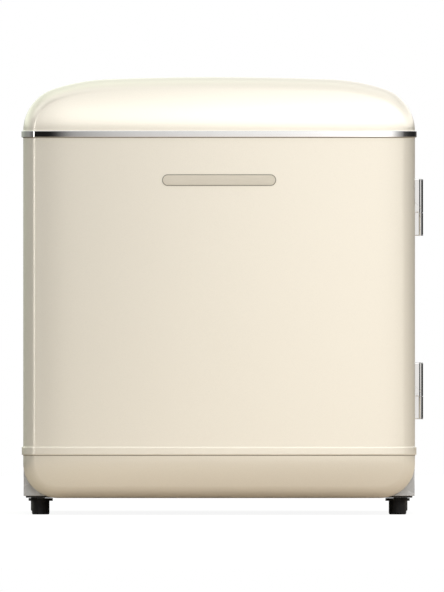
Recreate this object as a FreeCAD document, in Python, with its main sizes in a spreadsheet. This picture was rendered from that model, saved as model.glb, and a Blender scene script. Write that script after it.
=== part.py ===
"""Retro mini fridge: a domed single-door cabinet on two levelling feet, hinged on the right.

Working frame, in millimetres: x = 0 is the door's middle, y = 0 the cabinet's front face with +y
into the cabinet, and z = 0 the floor. Each finished piece is then placed by the same shift, so that
the origin lies under the middle of the whole appliance's box.
"""
import FreeCAD, Part
import Sketcher
import math
import os

from FreeCAD import Placement, Rotation, Vector

DIMENSIONS = {
    # overall
    "body_width": 440.0,
    "overall_height": 492.0,
    "cabinet_depth": 400.0,
    "cabinet_floor": 21.0,
    "dome_rise": 61.0,
    "dome_corner": 50.0,
    "dome_corner_turn": 72.0,
    "dome_crown": 3200.0,
    "crown_step": 1.0,
    # sheets and walls
    "shell_sheet": 0.8,
    "frame_sheet": 1.5,
    "liner_sheet": 2.0,
    "side_wall": 37.0,
    "floor_wall": 41.0,
    "roof_wall": 64.0,
    "rear_wall": 35.0,
    "liner_flange": 8.0,
    "corner_round": 12.0,
    "small_round": 6.0,
    "pan_front": 33.0,
    # machine bay
    "bay_depth": 140.0,
    "bay_height": 150.0,
    "bay_wall": 28.0,
    "bay_cheek": 12.0,
    "bay_sheet": 1.0,
    "tab_half": 20.0,
    # door
    "door_thick": 62.0,
    "door_gap": 8.0,
    "door_bottom": 19.0,
    "door_sheet": 0.8,
    "door_corner": 39.0,
    "door_edge_round": 13.0,
    "lean_radius": 120.0,
    "sole_radius": 100.0,
    "strip_low": 424.2,
    "strip_tall": 7.0,
    "strip_proud": 2.0,
    "band_low": 67.6,
    "band_tall": 9.2,
    "band_proud": 1.6,
    "gasket_wide": 13.0,
    "gasket_inset": 14.0,
    "gasket_gap": 0.2,
    "gasket_lap": 12.0,
    "gasket_round": 10.0,
    "bulge_half": 165.0,
    "bulge_low": 70.0,
    "bulge_high": 312.0,
    "bulge_deep": 16.0,
    "rib_wide": 12.0,
    "rib_deep": 26.0,
    "rib_high": 276.0,
    "badge_wide": 128.0,
    "badge_tall": 13.0,
    "badge_thick": 1.2,
    "badge_height": 376.0,
    "pull_tall": 96.0,
    "pull_wide": 22.0,
    "pull_deep": 13.0,
    "pull_height": 245.0,
    "pull_back": 9.0,
    # hinges
    "hinge_tall": 64.0,
    "hinge_upper": 313.8,
    "hinge_lower": 107.4,
    "knuckle_share": 25.6,
    "leaf_thick": 4.1,
    "leaf_deep": 36.0,
    "leaf_round": 1.0,
    "leaf_set_back": 1.2,
    "web_rise": 0.9,
    "web_half": 1.6,
    "web_lap": 3.0,
    "leaf_relief": 0.4,
    "pin_float": 0.2,
    "hinge_cap": 1.0,
    "cap_bevel": 0.5,
    "barrel_radius": 2.7,
    "pin_radius": 1.3,
    "pin_slack": 0.05,
    "axial_slack": 0.3,
    "screw_radius": 2.0,
    "screw_head": 3.4,
    "screw_long": 14.0,
    "screw_sink": 1.6,
    "screw_spread": 9.0,
    "screw_end": 14.0,
    "slot_deep": 0.7,
    "slot_reach": 2.2,
    "slot_half": 0.35,
    # feet
    "foot_spread": 201.0,
    "foot_setback": 27.0,
    "foot_radius": 9.9,
    "foot_flange": 13.7,
    "foot_flange_low": 15.3,
    "foot_flange_thick": 3.0,
    "stud_radius": 4.0,
    "stud_top": 44.0,
    "stud_slack": 0.3,
    "rail_inset": 2.5,
    "rail_deep": 50.0,
    "rail_thick": 2.0,
    "rail_front": 2.0,
    "rail_round": 3.0,
    "sole_bevel": 1.2,
    "sole_step": 1.0,
    "stud_tip": 1.0,
    "rear_foot_spread": 207.5,
    "rear_foot_radius": 8.0,
    "rear_foot_inset": 24.0,
    # ice box
    "ice_left": -170.0,
    "ice_right": 100.0,
    "ice_front": 96.0,
    "ice_deep": 234.0,
    "ice_high": 418.0,
    "ice_tall": 94.0,
    "ice_sheet": 1.6,
    "collar_lip": 5.0,
    "collar_reach": 12.0,
    "flap_thick": 4.6,
    "flap_pin": 2.0,
    "tray_tall": 19.0,
    "tray_wall": 2.0,
    "tray_drop": 19.0,
    "shelf_wire": 2.5,
    "shelf_bar": 1.4,
    "shelf_front": 72.0,
    "ledge_wide": 8.0,
    "ledge_tall": 6.0,
    "ledge_lead": 10.0,
    "run_slack": 0.5,
    "knob_radius": 18.0,
    "knob_deep": 15.0,
    # door racks
    "rack_half": 150.0,
    "rack_deep": 52.0,
    "rack_wall": 2.6,
    "bottle_rack_low": 78.0,
    "bottle_rack_tall": 62.0,
    "small_rack_low": 228.0,
    "small_rack_tall": 30.0,
    "boss_size": 9.0,
    "boss_out": 2.2,
    "bottle_boss_up": 26.0,
    "small_boss_up": 8.0,
    "boss_slack": 0.3,
    "rack_slack": 0.4,
    "ear_wall": 4.0,
    # condenser and compressor
    "coil_tube": 2.5,
    "coil_standoff": 12.0,
    "coil_half": 150.0,
    "coil_pitch": 35.0,
    "coil_low": 205.0,
    "coil_wire": 0.8,
    "spacer_deep": 30.0,
    "spacer_tall": 24.0,
    "spacer_spread": 120.0,
    "mount_x": 62.0,
    "mount_y": 40.0,
    "mount_rim_x": 12.0,
    "mount_rim_y": 10.0,
    "mount_plate": 2.5,
    "bolt_radius": 3.0,
    "pot_radius": 52.0,
    "pot_tall": 104.0,
    "pot_x": 88.0,
    "pot_setback": 68.0,
    "pot_base": 34.0,
}
# How far round, in degrees, the door's lean and sole arcs run: past the outline's top and bottom.
ROLL_SWEEP = 48.0
# How far a cutting tool passes the face that it cuts, and how far it clears a whole form.
OVERCUT = 1.0
CLEAR = 5.0
WELL_CLEAR = 20.0
BEVEL_TOOL = 10.0
# How near an edge counts as lying on a face.
EDGE_REACH = 2.0
RIM_TOLERANCE = 0.05
PIPE_SLACK = 0.2
LINER_SLACK = 0.2

doc = FreeCAD.newDocument("mini_fridge")
sheet = doc.addObject("Spreadsheet::Sheet", "dims")


class Size:
    """A length that carries its number and the spreadsheet formula that gives it."""

    def __init__(self, formula, value):
        self.formula, self.value = formula, float(value)

    def join(self, sign, other, value, swap=False):
        parts = (text(other), self.formula) if swap else (self.formula, text(other))
        return Size(f"({parts[0]} {sign} {parts[1]})", value)

    def __add__(self, other):
        return self.join("+", other, self.value + float(other))

    def __sub__(self, other):
        return self.join("-", other, self.value - float(other))

    def __mul__(self, other):
        return self.join("*", other, self.value * float(other))

    def __truediv__(self, other):
        return self.join("/", other, self.value / float(other))

    def __radd__(self, other):
        return self.join("+", other, float(other) + self.value, swap=True)

    def __rsub__(self, other):
        return self.join("-", other, float(other) - self.value, swap=True)

    def __rmul__(self, other):
        return self.join("*", other, float(other) * self.value, swap=True)

    def __neg__(self):
        return Size(f"(0 - {self.formula})", -self.value)

    def __float__(self):
        return self.value


def text(value):
    return value.formula if isinstance(value, Size) else repr(float(value))


class Dims:
    """One attribute for each alias of the spreadsheet."""


d = Dims()
for row, (alias, number) in enumerate(DIMENSIONS.items(), start=1):
    sheet.set(f"A{row}", alias)
    sheet.set(f"B{row}", str(number))
    sheet.setAlias(f"B{row}", alias)
    setattr(d, alias, Size(f"dims.{alias}", number))
doc.recompute()

NEAR_SQUARE = Size("0.1", 0.1)
NOTHING = Size("0", 0)

# ---------------------------------------------------------------- shared places
half = d.body_width / 2
crown = d.overall_height
spring = d.overall_height - d.dome_rise
cabinet_crown = d.overall_height - d.crown_step
cavity_half = half - d.side_wall
cavity_low = d.cabinet_floor + d.floor_wall
cavity_high = cabinet_crown - d.roof_wall
cavity_back = d.cabinet_depth - d.rear_wall
bay_front = d.cabinet_depth - d.bay_depth
bay_top = d.cabinet_floor + d.bay_height
bay_half = half - d.bay_cheek
step_front = bay_front - d.bay_wall
step_top = bay_top + d.bay_wall
pan_top = d.cabinet_floor + d.pan_front
pan_floor = d.cabinet_floor + d.frame_sheet
door_rear = -d.door_gap
door_front = -(d.door_gap + d.door_thick)
hinge_x = half + d.leaf_thick + d.barrel_radius
hinge_y = -(d.door_gap / 2)
right_reach = hinge_x + d.barrel_radius
leaf_face = half + d.leaf_thick
cabinet_leaf_y = (d.barrel_radius + d.leaf_set_back, d.barrel_radius + d.leaf_set_back + d.leaf_deep)
left_reach = half + d.strip_proud
front_reach = d.door_gap + d.door_thick + d.strip_proud
rear_reach = d.cabinet_depth + d.spacer_deep
shift_x = (left_reach - right_reach) / 2
shift_y = (front_reach - rear_reach) / 2

subparts = []
counts = {}


def unique(label):
    counts[label] = counts.get(label, 0) + 1
    return f"{label}_{counts[label]}"


def bind(item, **properties):
    for name, value in properties.items():
        path = name.replace("_", ".") if name.startswith("Placement") else name
        if isinstance(value, Size):
            item.setExpression(path, value.formula)
        else:
            item.setExpression(path, repr(float(value)))
    return item


# ---------------------------------------------------------------- building blocks
def block(label, x, y, z):
    """A box between the pairs x, y and z."""
    box = doc.addObject("Part::Box", unique(label))
    bind(box, Length=x[1] - x[0], Width=y[1] - y[0], Height=z[1] - z[0])
    return bind(box, Placement_Base_x=x[0], Placement_Base_y=y[0], Placement_Base_z=z[0])


AXIS_TURNS = {
    "x": Rotation(Vector(0, 1, 0), 90),
    "y": Rotation(Vector(1, 0, 0), -90),
    "z": Rotation(),
}


def rod(label, axis, start, length, radius):
    """A cylinder from start, along +axis."""
    cylinder = doc.addObject("Part::Cylinder", unique(label))
    cylinder.Placement = Placement(Vector(), AXIS_TURNS[axis])
    bind(cylinder, Radius=radius, Height=length)
    x, y, z = start
    return bind(cylinder, Placement_Base_x=x, Placement_Base_y=y, Placement_Base_z=z)


def taper(label, axis, start, length, radius, end_radius):
    """A cone from start, along +axis."""
    cone = doc.addObject("Part::Cone", unique(label))
    cone.Placement = Placement(Vector(), AXIS_TURNS[axis])
    bind(cone, Radius1=radius, Radius2=end_radius, Height=length)
    x, y, z = start
    return bind(cone, Placement_Base_x=x, Placement_Base_y=y, Placement_Base_z=z)


def fuse(label, *items):
    joined = doc.addObject("Part::MultiFuse", unique(label))
    joined.Shapes = list(items)
    return joined


def cut(label, base, *tools):
    tool = tools[0] if len(tools) == 1 else fuse(label + "_tools", *tools)
    result = doc.addObject("Part::Cut", unique(label))
    result.Base, result.Tool = base, tool
    return result


def group(label, *items):
    """Separate solids that share one node."""
    gathered = doc.addObject("Part::Compound", unique(label))
    gathered.Links = list(items)
    return gathered


def fillet(label, base, radius, choose):
    """Rounds the edges of base that choose(edge) picks."""
    doc.recompute()
    rounded = doc.addObject("Part::Fillet", unique(label))
    rounded.Base = base
    picked = [i for i, edge in enumerate(base.Shape.Edges, start=1) if choose(edge)]
    rounded.Edges = [(i, float(radius), float(radius)) for i in picked]
    return rounded


def shaped(label, shape):
    feature = doc.addObject("Part::Feature", unique(label))
    feature.Shape = shape
    return feature


def runs_along(edge, axis):
    """True for a straight edge parallel to that axis, 0 to 2."""
    if edge.Curve.TypeId != "Part::GeomLine":
        return False
    direction = edge.tangentAt(edge.FirstParameter)
    return abs(abs(direction[axis]) - 1) < 1e-6


def finish(label, item):
    """Makes item a sub-part: its label names its file, and the shared shift is its placement."""
    if item.TypeId in ("Part::Box", "Part::Cylinder", "Part::Cone"):
        item = group(label, item)
    item.Label = label
    bind(item, Placement_Base_x=shift_x, Placement_Base_y=shift_y)
    subparts.append(item)
    return item


PLANES = {"xy": "XY_Plane", "xz": "XZ_Plane", "yz": "YZ_Plane"}


def body_sketch(body, plane, name):
    sketch = body.newObject("Sketcher::SketchObject", unique(name))
    origin = next(f for f in body.Origin.OriginFeatures if f.Role == PLANES[plane])
    sketch.AttachmentSupport = (origin, [""])
    sketch.MapMode = "FlatFace"
    return sketch


def fix(sketch, kind, geometry, point, size):
    """A named distance of a sketch point from the sketch's origin, bound to the sheet."""
    number = sketch.addConstraint(Sketcher.Constraint(kind, geometry, point, float(size)))
    sketch.setExpression(f"Constraints[{number}]", text(size))


def rounded_rectangle(sketch, u, v, radius):
    """Four lines and four tangent arcs of one radius, placed by two opposite arc centres."""
    r = float(radius)
    left, right, low, high = float(u[0]), float(u[1]), float(v[0]), float(v[1])
    centres = [(left + r, low + r), (right - r, low + r), (right - r, high - r), (left + r, high - r)]
    starts = [math.pi, 1.5 * math.pi, 0.0, 0.5 * math.pi]
    up = Vector(0, 0, 1)
    arcs = []
    for (cx, cy), start in zip(centres, starts):
        circle = Part.Circle(Vector(cx, cy, 0), up, r)
        arcs.append(sketch.addGeometry(Part.ArcOfCircle(circle, start, start + 0.5 * math.pi), False))
    ends = [
        (Vector(left + r, low, 0), Vector(right - r, low, 0)),
        (Vector(right, low + r, 0), Vector(right, high - r, 0)),
        (Vector(right - r, high, 0), Vector(left + r, high, 0)),
        (Vector(left, high - r, 0), Vector(left, low + r, 0)),
    ]
    lines = [sketch.addGeometry(Part.LineSegment(a, b), False) for a, b in ends]
    for k in range(4):
        sketch.addConstraint(Sketcher.Constraint("Tangent", arcs[k], 2, lines[k], 1))
        sketch.addConstraint(Sketcher.Constraint("Tangent", lines[k], 2, arcs[(k + 1) % 4], 1))
    for k in range(1, 4):
        sketch.addConstraint(Sketcher.Constraint("Equal", arcs[0], arcs[k]))
    sketch.addConstraint(Sketcher.Constraint("Horizontal", lines[0]))
    sketch.addConstraint(Sketcher.Constraint("Vertical", lines[1]))
    number = sketch.addConstraint(Sketcher.Constraint("Radius", arcs[0], r))
    sketch.setExpression(f"Constraints[{number}]", text(radius))
    fix(sketch, "DistanceX", arcs[0], 3, u[0] + radius)
    fix(sketch, "DistanceY", arcs[0], 3, v[0] + radius)
    fix(sketch, "DistanceX", arcs[2], 3, u[1] - radius)
    fix(sketch, "DistanceY", arcs[2], 3, v[1] - radius)


def slab(label, plane, u, v, depth, radius):
    """A Body padded from a rounded rectangle. depth is the pair of places along the plane's normal.

    The plane names its two sketch directions: xy, xz and yz. An xz sketch's normal is -y.
    """
    body = doc.addObject("PartDesign::Body", unique(label))
    sketch = body_sketch(body, plane, label + "_outline")
    rounded_rectangle(sketch, u, v, radius)
    start, length = depth[0], depth[1] - depth[0]
    if plane == "xz":
        start = -depth[1]
    sketch.setExpression("AttachmentOffset.Base.z", text(start))
    pad = body.newObject("PartDesign::Pad", unique(label + "_pad"))
    pad.Profile = sketch
    pad.setExpression("Length", text(length))
    return body


# ---------------------------------------------------------------- the domed outline
def arch_edges(wide, base, rise, inset):
    """The arch over x = -wide to wide: a corner arc and a flatter shoulder arc each side, and a crown arc."""
    corner, crown_radius = float(d.dome_corner) - inset, float(d.dome_crown) - inset
    turn = math.radians(float(d.dome_corner_turn))
    run, drop, spare = wide - corner, crown_radius - rise, crown_radius - corner
    slack = run * math.cos(turn) + drop * math.sin(turn) - spare
    shoulder = corner - (spare**2 - run**2 - drop**2) / (2 * slack)
    corner_centre = Vector(wide - corner, 0, base)
    start = corner_centre + polar(corner, turn)
    shoulder_centre = start - polar(shoulder, turn)
    crown_centre = Vector(0, 0, base + rise - crown_radius)
    reach = shoulder_centre - crown_centre
    top_turn = math.atan2(reach.z, reach.x)
    touch = shoulder_centre + polar(shoulder, top_turn)
    bend = corner_centre + polar(corner, turn / 2)
    knee = shoulder_centre + polar(shoulder, (turn + top_turn) / 2)
    foot = Vector(wide, 0, base)
    edges = []
    for points in ((foot, bend, start), (start, knee, touch)):
        edges.append(Part.Arc(*points).toShape())
        edges.append(Part.Arc(*[mirrored(point) for point in reversed(points)]).toShape())
    edges.append(Part.Arc(touch, Vector(0, 0, base + rise), mirrored(touch)).toShape())
    return edges


def polar(radius, turn):
    """A step of radius in the x-z plane, turned up from +x."""
    return Vector(radius * math.cos(turn), 0, radius * math.sin(turn))


def mirrored(point):
    return Vector(-point.x, point.y, point.z)


def line(start, end):
    return Part.LineSegment(start, end).toShape()


def domed_wire(inset, low, top, corner=0.0):
    """The domed front outline, inset from the body's width and from top, down to z = low."""
    wide, base = float(half) - inset, float(spring)
    edges = arch_edges(wide, base, top - inset - base, inset)
    right_top = Vector(wide, 0, base)
    right_leg, right_foot = Vector(wide, 0, low + corner), Vector(wide - corner, 0, low)
    if corner > 0:
        bend = corner * (1 - math.sqrt(0.5))
        middle = Vector(wide - bend, 0, low + bend)
        edges.append(Part.Arc(right_foot, middle, right_leg).toShape())
        edges.append(Part.Arc(mirrored(right_leg), mirrored(middle), mirrored(right_foot)).toShape())
    edges.append(line(mirrored(right_top), mirrored(right_leg)))
    edges.append(line(mirrored(right_foot), right_foot))
    edges.append(line(right_leg, right_top))
    return Part.Wire(Part.__sortEdges__(edges))


def domed_prism(label, inset, low, y, top=cabinet_crown, corner=0.0):
    """The domed outline as a solid between the pair y."""
    wire = domed_wire(float(inset), float(low), float(top), float(corner))
    wire.translate(Vector(0, float(y[0]), 0))
    solid = Part.Face(wire).extrude(Vector(0, float(y[1]) - float(y[0]), 0))
    return shaped(label, solid)


# ---------------------------------------------------------------- cabinet structure
def outer_shell():
    y = (d.frame_sheet, d.cabinet_depth)
    outside = domed_prism("shell_outside", 0, d.cabinet_floor, y)
    inside = domed_prism("shell_inside", d.shell_sheet, d.cabinet_floor - OVERCUT, y)
    holes = hinge_screw_holes("shell_holes", side="cabinet")
    finish("outer_shell", cut("outer_shell", outside, inside, *holes))


def front_frame():
    ring = domed_prism("frame_outside", 0, pan_top, (0, d.frame_sheet))
    opening = block(
        "frame_opening",
        (-(cavity_half + d.liner_flange), cavity_half + d.liner_flange),
        (-OVERCUT, d.frame_sheet + OVERCUT),
        (pan_top - OVERCUT, cavity_high + d.liner_flange),
    )
    finish("front_frame", cut("front_frame", ring, opening))


def base_pan():
    front = block("pan_front", (-half, half), (0, d.frame_sheet), (d.cabinet_floor, pan_top))
    inside = half - d.shell_sheet
    floor = block("pan_floor", (-inside, inside), (0, d.cabinet_depth), (d.cabinet_floor, pan_floor))
    tab_y = (d.cabinet_depth - d.frame_sheet, d.cabinet_depth)
    tab_x = (GLAND_X - d.tab_half, GLAND_X + d.tab_half)
    tab = block("pan_tab", tab_x, tab_y, (d.cabinet_floor, GLAND_Z + d.tab_half))
    gland = rod("pan_gland", "y", (GLAND_X, d.cabinet_depth - CLEAR, GLAND_Z), 2 * CLEAR, GLAND_BODY)
    holes = stud_holes("pan_hole", d.cabinet_floor - OVERCUT, CLEAR)
    finish("base_pan", cut("base_pan", fuse("pan", front, floor, tab), gland, *holes))


def stud_holes(label, low, tall):
    """The two clearance holes round the levelling studs."""
    return [
        rod(label, "z", (x, d.foot_setback, low), tall, d.stud_radius + d.stud_slack)
        for x in (-d.foot_spread, d.foot_spread)
    ]


def foot_rail():
    inside = half - d.rail_inset
    top = d.cabinet_floor
    y = (d.rail_front, d.rail_front + d.rail_deep)
    strip = slab("rail_strip", "xy", (-inside, inside), y, (top - d.rail_thick, top), d.rail_round)
    holes = stud_holes("rail_hole", top - CLEAR, 2 * CLEAR)
    finish("foot_rail", cut("foot_rail", strip, *holes))


def liner_volume(label, grow, front):
    """The cabinet's cavity with its compressor step, grown by grow on every side but the front."""
    room = block(
        label + "_room",
        (-(cavity_half + grow), cavity_half + grow),
        (front, cavity_back + grow),
        (cavity_low - grow, cavity_high + grow),
    )
    step = block(
        label + "_step",
        (-(half + CLEAR), half + CLEAR),
        (step_front + grow, cavity_back + WELL_CLEAR),
        (cavity_low - WELL_CLEAR, step_top - grow),
    )
    stepped = cut(label + "_stepped", room, step)
    radius = d.corner_round + grow
    return fillet(label, stepped, radius, lambda e: runs_along(e, 1) and cavity_corner(e))


def cavity_corner(edge):
    """True for an edge at one of the cavity's four outer corners, seen from the front."""
    middle = edge.valueAt((edge.FirstParameter + edge.LastParameter) / 2)
    at_side = abs(middle.x) > float(cavity_half) - EDGE_REACH
    return at_side and abs(middle.z - float(step_top)) > EDGE_REACH


def ledges():
    """Ribs of the liner that carry the wire shelf."""
    top = step_top
    inner = cavity_half - d.ledge_wide
    z = (top - d.ledge_tall, top)
    into_wall = d.liner_sheet / 2
    y = (d.shelf_front - d.ledge_lead, step_front + into_wall)
    left = block("ledge_left", (-(cavity_half + into_wall), -inner), y, z)
    right = block("ledge_right", (inner, cavity_half + into_wall), y, z)
    return left, right


def inner_liner():
    outside = liner_volume("liner_outside", d.liner_sheet, NOTHING)
    flange = block(
        "liner_flange",
        (-(cavity_half + d.liner_flange), cavity_half + d.liner_flange),
        (0, d.frame_sheet),
        (cavity_low - d.liner_flange, cavity_high + d.liner_flange),
    )
    inside = liner_volume("liner_inside", NOTHING, Size("-1", -1))
    drain = rod("liner_drain", "z", (DRAIN_X, DRAIN_Y, step_top - CLEAR), 2 * CLEAR, DRAIN_RADIUS)
    wall = cut("liner_wall", fuse("liner_body", outside, flange), inside, drain)
    finish("inner_liner", fuse("inner_liner", wall, *ledges()))


def insulation_foam():
    y = (d.frame_sheet, d.cabinet_depth - d.shell_sheet)
    body = domed_prism("foam_body", d.shell_sheet, pan_floor, y)
    liner = liner_volume("foam_liner", d.liner_sheet, NOTHING)
    bay = block("foam_bay", (-bay_half, bay_half), (bay_front, d.cabinet_depth), (0, bay_top))
    studs = stud_holes("foam_stud", 0, d.stud_top + 2 * OVERCUT)
    drain_tall = d.bay_wall + 2 * CLEAR
    drain = rod("foam_drain", "z", (DRAIN_X, DRAIN_Y, bay_top - CLEAR), drain_tall, DRAIN_RADIUS)
    holes = hinge_screw_holes("foam_holes", side="cabinet") + pipe_holes("foam_pipe")
    finish("insulation_foam", cut("insulation_foam", body, liner, bay, drain, *studs, *holes))


def pipe_holes(label):
    """Holes for the two pipes that pass the machine bay's front wall."""
    return [
        rod(label, "y", (x, bay_front - CLEAR, z), 2 * CLEAR, radius + PIPE_SLACK)
        for x, z, radius in (SUCTION_ENTRY, CAPILLARY_ENTRY)
    ]


def bay_panel():
    wall_y = (bay_front, bay_front + d.bay_sheet)
    wall = block("bay_wall", (-bay_half, bay_half), wall_y, (pan_floor, bay_top))
    roof_y = (bay_front, d.cabinet_depth - d.shell_sheet)
    roof = block("bay_roof", (-bay_half, bay_half), roof_y, (bay_top - d.bay_sheet, bay_top))
    drain = rod("bay_drain", "z", (DRAIN_X, DRAIN_Y, bay_top - CLEAR), 2 * CLEAR, DRAIN_RADIUS)
    finish("bay_panel", cut("bay_panel", fuse("bay", wall, roof), drain, *pipe_holes("bay_pipe")))


def back_panel():
    y = (d.cabinet_depth - d.shell_sheet, d.cabinet_depth)
    plate = domed_prism("back_plate", d.shell_sheet, pan_floor, y)
    mouth = block("back_mouth", (-bay_half, bay_half), (y[0] - OVERCUT, y[1] + OVERCUT), (0, bay_top))
    finish("back_panel", cut("back_panel", plate, mouth))


def back_screws():
    inside, back = float(half) - 12, d.cabinet_depth
    thick, dome_tall, radius, dome_radius = 1.2, 0.9, 3.6, 2.2
    heads = []
    for z in (200, 310, 415):
        for x in (-inside, inside):
            base = rod("back_screw", "y", (x, back, z), thick, radius)
            dome = taper("back_screw_dome", "y", (x, back + thick, z), dome_tall, radius, dome_radius)
            heads.append(fuse("back_screw_head", base, dome))
    finish("back_screws", group("back_screws", *heads))


# ---------------------------------------------------------------- feet
def levelling_foot(side, x):
    low, thick, bevel, y = d.foot_flange_low, d.foot_flange_thick, d.sole_bevel, d.foot_setback
    pad = rod("foot_pad", "z", (x, y, bevel), low - bevel, d.foot_radius)
    sole = taper("foot_sole", "z", (x, y, 0), bevel, d.foot_radius - d.sole_step, d.foot_radius)
    flange = rod("foot_flange", "z", (x, y, low), thick, d.foot_flange)
    finish(f"front_foot_{side}", fuse(f"front_foot_{side}", pad, sole, flange))
    tip_low = d.stud_top - d.stud_tip
    stud = rod("foot_stud", "z", (x, y, low + thick), tip_low - low - thick, d.stud_radius)
    tip_radius = d.stud_radius - d.stud_tip * 0.8
    tip = taper("foot_stud_tip", "z", (x, y, tip_low), d.stud_tip, d.stud_radius, tip_radius)
    finish(f"front_foot_stud_{side}", fuse(f"front_foot_stud_{side}", stud, tip))


def rear_feet():
    y = d.cabinet_depth - d.rear_foot_inset
    feet = []
    for x in (-d.rear_foot_spread, d.rear_foot_spread):
        bevel, radius = d.sole_bevel, d.rear_foot_radius
        sole = taper("rear_sole", "z", (x, y, 0), bevel, radius - d.sole_step, radius)
        post = rod("rear_post", "z", (x, y, bevel), d.cabinet_floor - bevel, radius)
        feet.append(fuse("rear_foot", sole, post))
    finish("rear_feet", group("rear_feet", *feet))


# ---------------------------------------------------------------- hinges
def hinge_levels():
    return (("upper", d.hinge_upper), ("lower", d.hinge_lower))


def screw_places(side):
    """Centres (y, z) of the hinge screws on the door's side or the cabinet's side."""
    places = []
    for _, low in hinge_levels():
        if side == "door":
            middle = low + (d.knuckle_share + d.hinge_tall) / 2
            y = door_rear - d.leaf_deep / 2
            places += [(y - d.screw_spread, middle), (y + d.screw_spread, middle)]
        else:
            y = cabinet_leaf_y[0] + d.leaf_deep / 2
            places += [(y, low + d.screw_end), (y, low + d.hinge_tall - d.screw_end)]
    return places


def hinge_screw_holes(label, side):
    """Holes from the hinge's side into the door or the cabinet, one for each screw."""
    return [
        rod(label, "x", (half - d.screw_long, y, z), d.screw_long + 2 * OVERCUT, d.screw_radius)
        for y, z in screw_places(side)
    ]


def leaf_screw_cuts(label, low, side):
    """Countersunk holes of one hinge leaf."""
    cuts = []
    sink = leaf_face - d.screw_sink
    for y, z in screw_places(side):
        if float(low) < float(z) < float(low) + float(d.hinge_tall):
            cuts.append(rod(label, "x", (half - OVERCUT, y, z), d.leaf_thick + 2 * OVERCUT, d.screw_radius))
            cuts.append(taper(label, "x", (sink, y, z), d.screw_sink, d.screw_radius, d.screw_head + 0.1))
    return cuts


def hinge_screws(side):
    """Countersunk cross-head screws, flush with the leaf."""
    sink = leaf_face - d.screw_sink
    slot_x = (leaf_face - d.slot_deep, leaf_face + OVERCUT)
    shank_start = half - d.screw_long + d.slot_deep
    screws = []
    for y, z in screw_places(side):
        shank = rod("screw_shank", "x", (shank_start, y, z), sink - shank_start, d.screw_radius)
        head = taper("screw_head", "x", (sink, y, z), d.screw_sink, d.screw_radius, d.screw_head)
        along, across = (y - d.slot_reach, y + d.slot_reach), (z - d.slot_half, z + d.slot_half)
        slot_a = block("screw_slot", slot_x, along, across)
        along, across = (z - d.slot_reach, z + d.slot_reach), (y - d.slot_half, y + d.slot_half)
        slot_b = block("screw_slot", slot_x, across, along)
        screws.append(cut("hinge_screw", fuse("screw", shank, head), slot_a, slot_b))
    finish(f"{side}_hinge_screws", group(f"{side}_hinge_screws", *screws))


def hinge_knuckle(label, z, bore):
    """A barrel round the hinge axis between the pair z, and the tool that bores it."""
    barrel = rod(label, "z", (hinge_x, hinge_y, z[0]), z[1] - z[0], d.barrel_radius)
    start = (hinge_x, hinge_y, z[0] - OVERCUT)
    return barrel, rod(label + "_bore", "z", start, d.hinge_tall, bore)


def door_leaf(name, low):
    """The door's leaf with the upper knuckle, its lower end bevelled outwards."""
    start, top = low + d.knuckle_share + d.axial_slack, low + d.hinge_tall
    web_x = (half, leaf_face + d.web_rise)
    y = (door_rear - d.leaf_deep, door_rear)
    plate = slab("door_leaf_plate", "yz", y, (start, top), (half, leaf_face), d.leaf_round)
    bevel = block("leaf_bevel", (0, d.leaf_thick * 2), (0, d.leaf_deep + 2 * OVERCUT), (-BEVEL_TOOL, 0))
    bevel.Placement = Placement(Vector(), Rotation(Vector(0, 1, 0), -45))
    bevel_x, bevel_y = half + d.leaf_relief, y[0] - OVERCUT
    bind(bevel, Placement_Base_x=bevel_x, Placement_Base_y=bevel_y, Placement_Base_z=start)
    arm_y = (door_rear - d.web_lap, hinge_y + d.web_half)
    arm = block("door_leaf_web", web_x, arm_y, (start, top))
    knuckle_z = (start, top - d.hinge_cap - d.axial_slack)
    barrel, hole = hinge_knuckle("door_knuckle", knuckle_z, d.pin_radius + d.pin_slack)
    above = block(
        "door_leaf_above",
        (leaf_face, web_x[1] + OVERCUT),
        (door_rear, hinge_y + d.web_half + OVERCUT),
        (knuckle_z[1], top + OVERCUT),
    )
    cuts = leaf_screw_cuts("door_leaf_screw", low, "door")
    leaf = cut(name, fuse("door_leaf", plate, arm, barrel), hole, bevel, above, *cuts)
    finish(name, leaf)


def cabinet_leaf(name, low):
    """The cabinet's leaf with the lower knuckle."""
    split, top = low + d.knuckle_share, low + d.hinge_tall
    plate = slab("cabinet_leaf_plate", "yz", cabinet_leaf_y, (low, top), (half, leaf_face), d.leaf_round)
    arm_x = (half + d.leaf_relief, leaf_face + d.web_rise)
    arm_y = (hinge_y - d.web_half, cabinet_leaf_y[0] + d.web_lap)
    arm = block("cabinet_leaf_web", arm_x, arm_y, (low + d.hinge_cap, split))
    knuckle_z = (low + d.hinge_cap, split)
    barrel, hole = hinge_knuckle("cabinet_knuckle", knuckle_z, d.pin_radius + d.pin_slack)
    cuts = leaf_screw_cuts("cabinet_leaf_screw", low, "cabinet")
    finish(name, cut(name, fuse("cabinet_leaf", plate, arm, barrel), hole, *cuts))


def hinge_pin(name, low):
    """The pin through both knuckles, with a flat foot and a bevelled cap."""
    top, bevel, radius = low + d.hinge_tall, d.cap_bevel, d.barrel_radius
    pin = rod("hinge_pin", "z", (hinge_x, hinge_y, low), d.hinge_tall - bevel, d.pin_radius)
    cap_at, rim_at = (hinge_x, hinge_y, top - d.hinge_cap), (hinge_x, hinge_y, top - bevel)
    cap = rod("hinge_cap", "z", cap_at, d.hinge_cap - bevel, radius)
    rim = taper("hinge_cap_rim", "z", rim_at, bevel, radius, radius - bevel)
    foot = rod("hinge_pin_foot", "z", (hinge_x, hinge_y, low), d.hinge_cap - d.pin_float, radius)
    finish(name, fuse(name, pin, cap, rim, foot))


def hinge(name, low):
    door_leaf(f"{name}_hinge_door_leaf", low)
    cabinet_leaf(f"{name}_hinge_cabinet_leaf", low)
    hinge_pin(f"{name}_hinge_pin", low)


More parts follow.
